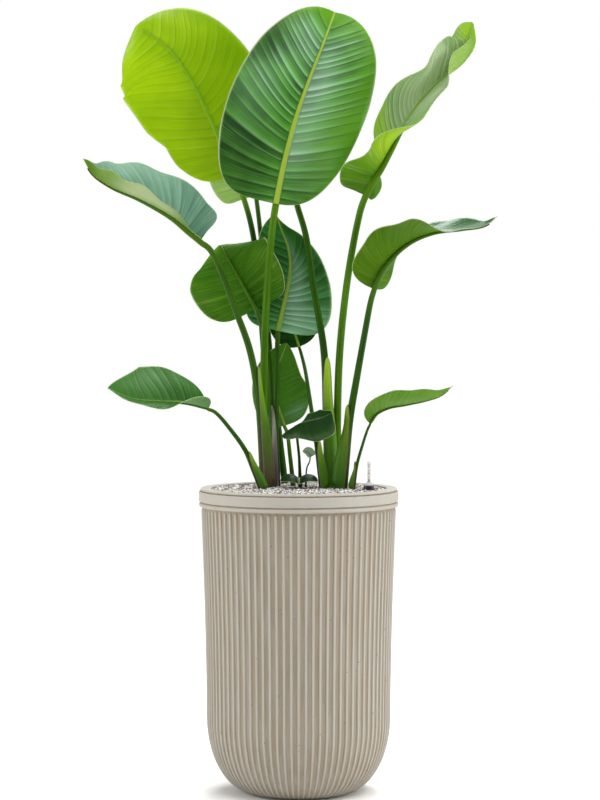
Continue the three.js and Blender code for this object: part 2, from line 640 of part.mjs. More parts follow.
add("planter", planter(), 0xb8af9f, 0.75);
add("substrate", substrate(), 0xc9bdb6, 0.95);
for (const [name, leaf] of Object.entries(leaves)) {
  add(`leaf_${name}_blade`, blade(leaf), leaf.colour, 0.45);
  add(`leaf_${name}_stalk`, stalk(leaf, plantedDepthOf(leaf)), 0x4a7f18, 0.5);
}
add("gauge_riser", gaugeRiser(), 0x3a2830, 0.4);
add("gauge_sight_tube", gaugeSightTube(), 0xd8d4da, 0.1);
add("gauge_float", gaugeFloat(), 0xb04030, 0.5);

export default part;
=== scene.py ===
# %% [markdown]
# # A giant bird of paradise in a ribbed floor planter
#
# The plant is Strelitzia nicolai: stiff stalks that rise from the soil in a fan, each with a sheath at its
# foot and one paddle of a leaf at its end. It grows in loose mineral granules in a tall fibre-clay planter,
# and a small gauge beside it shows how much water is left.
#
# The measured model comes first. It fixes where each piece is, and everything below is fitted to it: the
# same curves with many more faces, and the finish of each surface.

# %% Load the measured frame
import json
import math
import random

import bpy
import numpy as np
from mathutils import Euler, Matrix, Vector

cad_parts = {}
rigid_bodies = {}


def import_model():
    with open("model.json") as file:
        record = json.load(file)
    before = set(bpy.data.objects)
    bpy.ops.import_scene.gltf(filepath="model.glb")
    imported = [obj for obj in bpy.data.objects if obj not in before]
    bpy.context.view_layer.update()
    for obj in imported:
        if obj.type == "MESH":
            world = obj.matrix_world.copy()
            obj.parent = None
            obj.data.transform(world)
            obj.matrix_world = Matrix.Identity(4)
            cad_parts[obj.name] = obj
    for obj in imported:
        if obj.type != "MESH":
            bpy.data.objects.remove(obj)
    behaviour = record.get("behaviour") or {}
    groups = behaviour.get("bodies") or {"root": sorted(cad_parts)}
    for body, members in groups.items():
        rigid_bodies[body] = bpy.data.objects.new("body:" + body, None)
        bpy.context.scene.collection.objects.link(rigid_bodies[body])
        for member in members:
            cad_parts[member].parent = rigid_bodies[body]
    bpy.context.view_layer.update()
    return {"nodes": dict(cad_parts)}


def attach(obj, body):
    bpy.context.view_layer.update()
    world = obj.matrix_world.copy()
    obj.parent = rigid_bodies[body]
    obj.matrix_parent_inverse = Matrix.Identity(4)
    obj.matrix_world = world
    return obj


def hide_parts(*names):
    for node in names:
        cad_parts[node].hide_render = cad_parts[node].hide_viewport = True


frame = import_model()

# %% [markdown]
# ## Working by hand, in code
#
# A few habits from the viewport are worth keeping as functions. An operator acts on all that is selected, so
# everything is deselected before a primitive is added. A modifier is applied once it has done its work. A
# finished piece has no place of its own: its place is in its mesh, it rides on a body of the frame, and the
# measured piece that it stands for, if it has one, is hidden.

# %% Small helpers
MM = 0.001
PLANT = "pot_and_plant"
FLOAT = "float"


def fresh(piece=None):
    """Leaves edit mode and deselects everything, then picks a piece if one is named."""
    if bpy.context.object and bpy.context.object.mode != "OBJECT":
        bpy.ops.object.mode_set(mode="OBJECT")
    bpy.ops.object.select_all(action="DESELECT")
    if piece:
        piece.select_set(True)
        bpy.context.view_layer.objects.active = piece


def edited(piece):
    """Picks a piece and opens it in edit mode, selected all over."""
    fresh(piece)
    bpy.ops.object.mode_set(mode="EDIT")
    bpy.ops.mesh.select_all(action="SELECT")


def mended(piece, outside=True):
    """Merges doubled points, and turns the faces of a closed piece outwards."""
    edited(piece)
    bpy.ops.mesh.remove_doubles(threshold=0.01 * MM)
    if outside:
        bpy.ops.mesh.normals_make_consistent(inside=False)
    bpy.ops.object.mode_set(mode="OBJECT")


def thickened(piece, millimetres, **settings):
    """Gives a sheet its thickness, half to each side."""
    fresh(piece)
    modifier = piece.modifiers.new("wall", "SOLIDIFY")
    modifier.thickness, modifier.offset = millimetres * MM, 0
    for name, value in settings.items():
        setattr(modifier, name, value)
    bpy.ops.object.modifier_apply(modifier=modifier.name)


def in_scene(name, data):
    """A new object in the scene that shows a mesh, a lamp or a camera."""
    made = bpy.data.objects.new(name, data)
    bpy.context.scene.collection.objects.link(made)
    return made


def finished(piece, name, finishes, nodes=(), body=PLANT, sharp=None):
    """Names a piece, gives it its finishes and smooth shading, and sets it on its body."""
    piece.name = name
    piece.data.name = name
    for finish in finishes[len(piece.data.materials):]:
        piece.data.materials.append(finish)
    fresh(piece)
    if sharp is None:
        bpy.ops.object.shade_smooth()
    else:
        bpy.ops.object.shade_smooth_by_angle(angle=math.radians(sharp))
    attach(piece, body)
    if nodes:
        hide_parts(*nodes)
    return piece


def places_of(piece):
    """A mesh's points as an array with a row for each."""
    places = np.zeros(len(piece.data.vertices) * 3)
    piece.data.vertices.foreach_get("co", places)
    return places.reshape(-1, 3)


def shaped(piece, places):
    """Moves each point of a mesh to its new place."""
    piece.data.vertices.foreach_set("co", np.asarray(places, float).ravel())
    piece.data.update()


def kept_as(piece, name, values):
    """Keeps a value, or a vector, for each point, for a finish to read."""
    values = np.asarray(values, float)
    kind, field = ("FLOAT", "value") if values.ndim == 1 else ("FLOAT_VECTOR", "vector")
    piece.data.attributes.new(name, kind, "POINT").data.foreach_set(field, values.ravel())


def faces_of(ending):
    """How many faces the pieces have whose names end so."""
    return sum(len(o.data.polygons) for o in bpy.data.objects if o.name.endswith(ending))


print("helpers ready")

# %% [markdown]
# ## Colours and nodes
#
# Colours are picked as sRGB hex values, because that is what the eye and a paint chart agree on, and shaders
# want linear light, so one function converts them. A second adds a node: each of its sockets is given a value
# or the output that feeds it. Real finishes are built up in coats, from the tissue or the cast body outwards,
# so a third lays coats over a base colour, and a fourth gives the outermost one its gloss and fine relief.

# %% Colour and node helpers
MIX_A, MIX_B, MIX_OUT = 6, 7, 2  # a Mix node's colour sockets


def colour(value):
    """An sRGB hex value as the linear colour that a shader takes."""
    parts = [((value >> shift) & 255) / 255 for shift in (16, 8, 0)]
    return tuple(c / 12.92 if c <= 0.04045 else ((c + 0.055) / 1.055) ** 2.4 for c in parts) + (1.0,)


def darker(shade, share):
    """A share of a colour's light."""
    return tuple(c * share for c in shade[:3]) + (1.0,)


def node(tree, kind, sockets=None, **settings):
    """Adds a node with its settings, fills or links its sockets, and gives its outputs."""
    made = tree.nodes.new("ShaderNode" + kind)
    for name, value in settings.items():
        setattr(made, name, value)
    for socket, value in (sockets or {}).items():
        if isinstance(value, bpy.types.NodeSocket):
            tree.links.new(value, made.inputs[socket])
        else:
            made.inputs[socket].default_value = value
    return made.outputs


def material(name):
    """An empty material, and its node tree."""
    made = bpy.data.materials.new(name)
    made.use_nodes = True
    made.node_tree.nodes.clear()
    return made, made.node_tree


def coated(tree, base, coats):
    """Lays coats over a base. A coat is its colour and the amounts whose product says how thick it is."""
    for shade, thickness, *amounts in coats:
        for amount in amounts:
            thickness = node(tree, "Math", {0: thickness, 1: amount}, operation="MULTIPLY")[0]
        base = node(tree, "Mix", {0: thickness, MIX_A: base, MIX_B: shade}, data_type="RGBA")[MIX_OUT]
    return base


def skinned(tree, paint, relief, strength, depth, roughness, gloss):
    """The outermost skin: a colour, its fine relief, how matt it is and how much it mirrors."""
    normal = node(tree, "Bump", {"Height": relief, "Strength": strength, "Distance": depth * MM})[0]
    shader = node(tree, "BsdfPrincipled", {"Base Color": paint, "Normal": normal, "Roughness": roughness,
                                           "Specular IOR Level": gloss})[0]
    return shader, normal


print("colour 0xB8AF9F is", [round(c, 3) for c in colour(0xB8AF9F)[:3]])

# %% [markdown]
# ## Fibre clay
#
# The planter is cast in fibre clay: clay, stone powder and glass fibre, washed over with a thin greige coat
# and left matt. The wash thins on what stands proud, so the crests are paler and cooler, and it pools in the
# hollows, which turn a warm tan. The rim's two grooves and the recess under the rim are given the full tan as
# painted shade. Small pinholes and specks are left by the casting. The tan follows the depth of each point,
# kept on the mesh, and a noise makes it uneven.

# %% Fibre clay finish
def fibre_clay():
    """Matt cast clay. Its grain is under a millimetre, its pinholes about 18 mm apart."""
    made, tree = material("fibre_clay_cast_and_washed")
    place = node(tree, "TexCoord")["Object"]
    depth = node(tree, "Attribute", attribute_name="hollow")["Fac"]
    drawn_out = node(tree, "Mapping", {"Vector": place, "Scale": (1, 1, 0.12)})[0]
    streaks = node(tree, "TexNoise", {"Vector": drawn_out, "Scale": 90, "Detail": 3})["Fac"]
    clouds = node(tree, "TexNoise", {"Vector": place, "Scale": 11, "Detail": 2})["Fac"]
    grain = node(tree, "TexNoise", {"Vector": place, "Scale": 900, "Detail": 2, "Roughness": 0.7})["Fac"]
    pins = node(tree, "TexVoronoi", {"Vector": place, "Scale": 55, "Randomness": 1})["Distance"]
    uneven = node(tree, "MapRange", {"Value": streaks, "From Min": 0.35, "From Max": 0.65,
                                     "To Min": 0.7, "To Max": 1.15})[0]
    cloudy = node(tree, "MapRange", {"Value": clouds, "From Min": 0.3, "From Max": 0.7, "To Max": 0.3})[0]
    pinhole = node(tree, "MapRange", {"Value": pins, "From Min": 0.05, "From Max": 0.09,
                                      "To Min": 0.5, "To Max": 0})[0]
    # the tan: the wash in the rib hollows, and painted shade in the rim's grooves and under the rim
    paint = coated(tree, colour(0xACAAA2), [(colour(0x968A78), depth, uneven),
                                            (colour(0xA89A88), cloudy), (colour(0x5E5242), pinhole)])
    pitted = node(tree, "Math", {0: pinhole, 1: -0.6, 2: grain}, operation="MULTIPLY_ADD")[0]
    shader, _ = skinned(tree, paint, pitted, strength=0.25, depth=0.4, roughness=0.82, gloss=0.3)
    node(tree, "OutputMaterial", {"Surface": shader})
    return made


clay = fibre_clay()
print("made", clay.name)

# %% [markdown]
# ## The planter
#
# The planter is round, so its outline is drawn once, as half of its section, and spun. The section runs up
# the outside, over the rim and down the inside to the middle of the floor. The 82 ribs are then pressed in:
# between them, points move towards the axis by the rib's depth. Each rib is a round bead a little narrower
# than the hollow beside it, it rounds off under the rim, and it fades out at the foot.

# %% Planter sizes and section, in millimetres
HEIGHT, RIM_RADIUS, OPENING_RADIUS, FOOT_RADIUS, FLOOR = 550, 180, 158, 85, 26
CORNER_HEIGHT, LOWER_RADIUS, UPPER_RADIUS, RIB_TOP = 135, 166.5, 176, 515
RIBS, RIB_DEPTH, RIB_SHARE, STEPS_PER_RIB = 82, 3.2, 0.25, 8
FLARE = 1.6  # how late the body widens towards the rim
LOWER_BEAD, BAND_EDGE, TOP_BEAD, LIP = 4.4, 1.5, 2.6, 2  # radii of the rim's mouldings


def body_radius(z):
    """The outside radius at a height: a quarter of an ellipse, then a slow flare."""
    if z < CORNER_HEIGHT:
        return FOOT_RADIUS + (LOWER_RADIUS - FOOT_RADIUS) * math.sqrt(1 - (1 - z / CORNER_HEIGHT) ** 2)
    rise = (z - CORNER_HEIGHT) / (RIB_TOP - CORNER_HEIGHT)
    return LOWER_RADIUS + (UPPER_RADIUS - LOWER_RADIUS) * rise ** FLARE


def arc(centre, radius, start, end, count):
    """Points on a round moulding, from one angle to another in degrees."""
    angles = [math.radians(start + (end - start) * k / (count - 1)) for k in range(count)]
    return [(centre[0] + radius * math.cos(a), centre[1] + radius * math.sin(a)) for a in angles]


def planter_section():
    """The half section as (radius, height), from the axis under the foot round to the axis inside."""
    corner = [CORNER_HEIGHT * (1 - math.cos(math.radians(angle))) for angle in range(0, 91, 6)]
    heights = corner + [170, 220, 280, 340, 400, 450, 485, 500, 506, 509, 511.5, 513, 514.2]
    outside = [(body_radius(z), z) for z in heights]
    recess = [(UPPER_RADIUS - 3.4, 515), (UPPER_RADIUS - 3.2, 516.2)]
    lower_bead = arc((RIM_RADIUS - LOWER_BEAD, 520.4), LOWER_BEAD, -95, 75, 9)
    band = [(RIM_RADIUS - 2.2, 525.3)] + arc((RIM_RADIUS - BAND_EDGE, 527.6), BAND_EDGE, -70, 0, 4)
    band += arc((RIM_RADIUS - BAND_EDGE, 542.6), BAND_EDGE, 0, 70, 4) + [(RIM_RADIUS - 4.6, 544.8)]
    top_bead = arc((RIM_RADIUS - 5.1, 547.2), TOP_BEAD, -60, 90, 7)
    rim = [(RIM_RADIUS - 9, HEIGHT - 0.1), (OPENING_RADIUS + 4, HEIGHT - 0.4)]
    rim += arc((OPENING_RADIUS + LIP, HEIGHT - 0.4 - LIP), LIP, 90, 180, 5)
    inside = [(OPENING_RADIUS, 500), (OPENING_RADIUS, FLOOR + 115), (150, FLOOR + 65), (138, FLOOR + 30)]
    inside += [(120, FLOOR + 10), (100, FLOOR)]
    return [(0, 0)] + outside + recess + lower_bead + band + top_bead + rim + inside + [(0, FLOOR)]


print("the section has", len(planter_section()), "points")

# %% Spin the planter and press the ribs in
def spun(name, section, steps):
    """A section of (radius, height) points in millimetres, spun about the vertical axis."""
    mesh = bpy.data.meshes.new(name)
    mesh.from_pydata([(r * MM, 0, z * MM) for r, z in section],
                     [(k, k + 1) for k in range(len(section) - 1)], [])
    piece = in_scene(name, mesh)
    edited(piece)
    bpy.ops.mesh.spin(steps=steps, angle=math.tau, center=(0, 0, 0), axis=(0, 0, 1))
    mended(piece)
    return piece


def smooth_step(value, low, high):
    """0 below low, 1 above high, and an eased slope between."""
    t = np.clip((value - low) / (high - low), 0, 1)
    return t * t * (3 - 2 * t)


ROUNDED_FROM, ROUNDED_OVER = 508, 5.5  # where each rib starts to round off under the rim, and how fast
FADED_BELOW, WHOLE_ABOVE = -2, 20  # between these heights, the ribs fade out at the foot
PLAIN = 0.12  # how much of the hollows' tan the parts without ribs have
planter = spun("planter_shell", planter_section(), RIBS * STEPS_PER_RIB)
points = places_of(planter) / MM
radius = np.hypot(points[:, 0], points[:, 1])
height = points[:, 2]
phase = np.mod(np.arctan2(points[:, 1], points[:, 0]) * RIBS / math.tau, 1) - 0.5
bead = np.sqrt(np.clip(1 - (phase / RIB_SHARE) ** 2, 0, 1))
bead *= np.sqrt(np.clip(1 - np.clip((height - ROUNDED_FROM) / ROUNDED_OVER, 0, 1) ** 2, 0, 1))
outer = np.array([body_radius(min(z, RIB_TOP)) for z in height])
on_side = (radius > outer - 1) & (height < RIB_TOP) & (height > 0.01)
depth = RIB_DEPTH * smooth_step(height, FADED_BELOW, WHOLE_ABOVE)
pressed = np.where(on_side, radius - (1 - bead) * depth, radius)
points[:, :2] *= (pressed / np.maximum(radius, 1e-6))[:, None]
shaped(planter, points * MM)
# the rim's two grooves and the recess under the rim get the full tan: painted shade
rim_grooves_painted_shade = (np.abs(height - 525.6) < 1.2) | (np.abs(height - 544.9) < 0.9)
painted_shade_under_rim = (height > 513) & (height < 517)
hollow = np.where(on_side, 1 - bead, np.where(rim_grooves_painted_shade | painted_shade_under_rim, 1.0, PLAIN))
kept_as(planter, "hollow", np.where(height > HEIGHT - 3, 0.0, hollow))
finished(planter, "planter_shell", [clay], ["planter"], sharp=40)
print("planter_shell has", len(planter.data.polygons), "faces")

# %% [markdown]
# ## Mineral granules
#
# The plant grows in a mix of crushed pumice, zeolite and lava, 3 to 6 mm across. Crushed stone has flat
# broken faces, so each grain is one twenty-sided ball, squashed and turned at random and shaded flat. Grains
# lie where a jittered grid puts them, except where a stalk stands, and each keeps a number from 0 to 1 that
# picks its stone: chalk white, blue-grey, beige or mauve-brown.

# %% Granule finishes
CHALK = 0xE4E4E2
STONES = ((0.24, 0xC3CDD4), (0.34, 0xC4B09A), (0.46, 0x9C8678), (0.6, 0x705654), (0.76, 0x46363A),
          (0.92, 0x94AAB4))  # each from its share upwards


def granule_finish(name, own_shade):
    """Crushed stone. Each grain has one shade, and the bed below them has many, from its pattern."""
    made, tree = material(name)
    place = node(tree, "TexCoord")["Object"]
    if own_shade:
        pick = node(tree, "Attribute", attribute_name="stone")["Fac"]
    else:
        cells = node(tree, "TexVoronoi", {"Vector": place, "Scale": 220})["Color"]  # 4.5 mm apart
        pick = node(tree, "SeparateColor", {"Color": cells})[0]
    coats = [(colour(shade), node(tree, "Math", {0: pick, 1: start}, operation="GREATER_THAN")[0])
             for start, shade in STONES]
    dust = node(tree, "TexNoise", {"Vector": place, "Scale": 1400, "Detail": 2})["Fac"]
    dusty = node(tree, "MapRange", {"Value": dust, "From Min": 0.4, "From Max": 0.7, "To Max": 0.2})[0]
    paint = coated(tree, colour(CHALK), coats + [(colour(0xE9E6E2), dusty)])
    shader, _ = skinned(tree, paint, dust, strength=0.4, depth=0.4, roughness=0.9, gloss=0.25)
    node(tree, "OutputMaterial", {"Surface": shader})
    return made


loose_stone = granule_finish("crushed_pumice_zeolite_and_lava", True)
packed_stone = granule_finish("packed_granules_below_the_surface", False)
frame["nodes"]["substrate"].data.materials.clear()
frame["nodes"]["substrate"].data.materials.append(packed_stone)
print("the packed bed keeps its measured shape")

# %% [markdown]
# ## Curves
#
# Every leaf follows a smooth curve through a few points: the stalk's from the granules to the blade, and the
# midrib's from there to the tip. The curve is the one that many drawing programs call centripetal: it passes
# through its points without loops or overshoot. Sampled at even distances, it gives a place and a direction
# anywhere along it.

# %% Smooth curves
def curve_through(stops, count=400):
    """Evenly spaced places along a smooth curve through some points, its directions, and its length."""
    stops = np.asarray(stops, float)
    ends = np.vstack([2 * stops[0] - stops[1], stops, 2 * stops[-1] - stops[-2]])
    pieces = []
    for k in range(len(stops) - 1):
        p0, p1, p2, p3 = ends[k:k + 4]
        d0, d1, d2 = (math.sqrt(np.linalg.norm(b - a)) for a, b in ((p0, p1), (p1, p2), (p2, p3)))
        out = ((p1 - p0) / d0 - (p2 - p0) / (d0 + d1) + (p2 - p1) / d1) * d1
        into = ((p2 - p1) / d1 - (p3 - p1) / (d1 + d2) + (p3 - p2) / d2) * d1
        t = np.linspace(0, 1, 60)[:, None]
        pieces.append(p1 + out * t + (-3 * p1 + 3 * p2 - 2 * out - into) * t ** 2
                      + (2 * p1 - 2 * p2 + out + into) * t ** 3)
    fine = np.vstack([pieces[0]] + [piece[1:] for piece in pieces[1:]])
    walked = np.concatenate([[0], np.cumsum(np.linalg.norm(np.diff(fine, axis=0), axis=1))])
    even = np.linspace(0, walked[-1], count + 1)
    places = np.stack([np.interp(even, walked, fine[:, k]) for k in range(3)], axis=1)
    return places, unit(np.gradient(places, axis=0)), walked[-1]


def unit(vectors):
    """Vectors of the same direction, one long."""
    return vectors / np.maximum(np.linalg.norm(vectors, axis=-1, keepdims=True), 1e-9)


def at_share(rows, u):
    """Rows of numbers that stand at even shares from 0 to 1, read at the shares u."""
    rows = np.asarray(rows, float)
    stations = np.linspace(0, 1, len(rows))
    return np.stack([np.interp(u, stations, rows[:, k]) for k in range(rows.shape[1])], axis=-1)


def along(values, u):
    """Values at even stations along a blade, with an eased change from each to the next."""
    values = np.asarray(values, float)
    at = np.clip(u, 0, 1) * (len(values) - 1)
    start = np.minimum(at.astype(int), len(values) - 2)
    ease = smooth_step(at - start, 0, 1)
    if values.ndim > 1:
        ease = ease[..., None]
    return values[start] * (1 - ease) + values[start + 1] * ease


print("a straight curve of two points is", round(curve_through([(0, 0, 0), (0, 3, 4)])[2], 3), "long")

# %% [markdown]
# ## The leaves, by their measures
#
# A leaf is described by where it grows and how it bends, in this order. Its root is its place on the
# granules, its petiole the points that its stalk passes, and its midrib those from the blade's base to its
# tip. Then comes which way the upper side faces, from base to tip, and the left and right halves as seen
# from the upper side with the tip up: how wide, how slender at the base and at the tip, and the rise in
# degrees at the midrib and at the margin. `lobe` is how far the base reaches back, `ripple` the margin's
# waves, and `radii` the stalk's radius at the root, under the blade and at the tip. `sheath` is how much of
# the stalk swells at its foot, by how much and which way, and `nick` a cut in the margin: its half (-1 left,
# 1 right), where it is, how deep and how narrow. All are in millimetres, as in the measured model, so both
# give the same leaf.

# %% Leaf measures
def half_of(width, outline, fold, curl, lobe=None):
    """One half of a blade."""
    return {"width": width, "outline": outline, "fold": fold, "curl": curl, "lobe": lobe}


def leaf_of(root, petiole, midrib, faces, left, right, lobe, ripple, radii, sheath=(0.2, 0, 0), nick=None):
    """One leaf. A half that has no lobe of its own takes the leaf's."""
    for half in (left, right):
        half["lobe"] = lobe if half["lobe"] is None else half["lobe"]
    return {"root": root, "petiole": petiole, "midrib": midrib, "faces": faces, "left": left, "right": right,
            "ripple": ripple, "radii": radii, "sheath": sheath, "nick": nick}


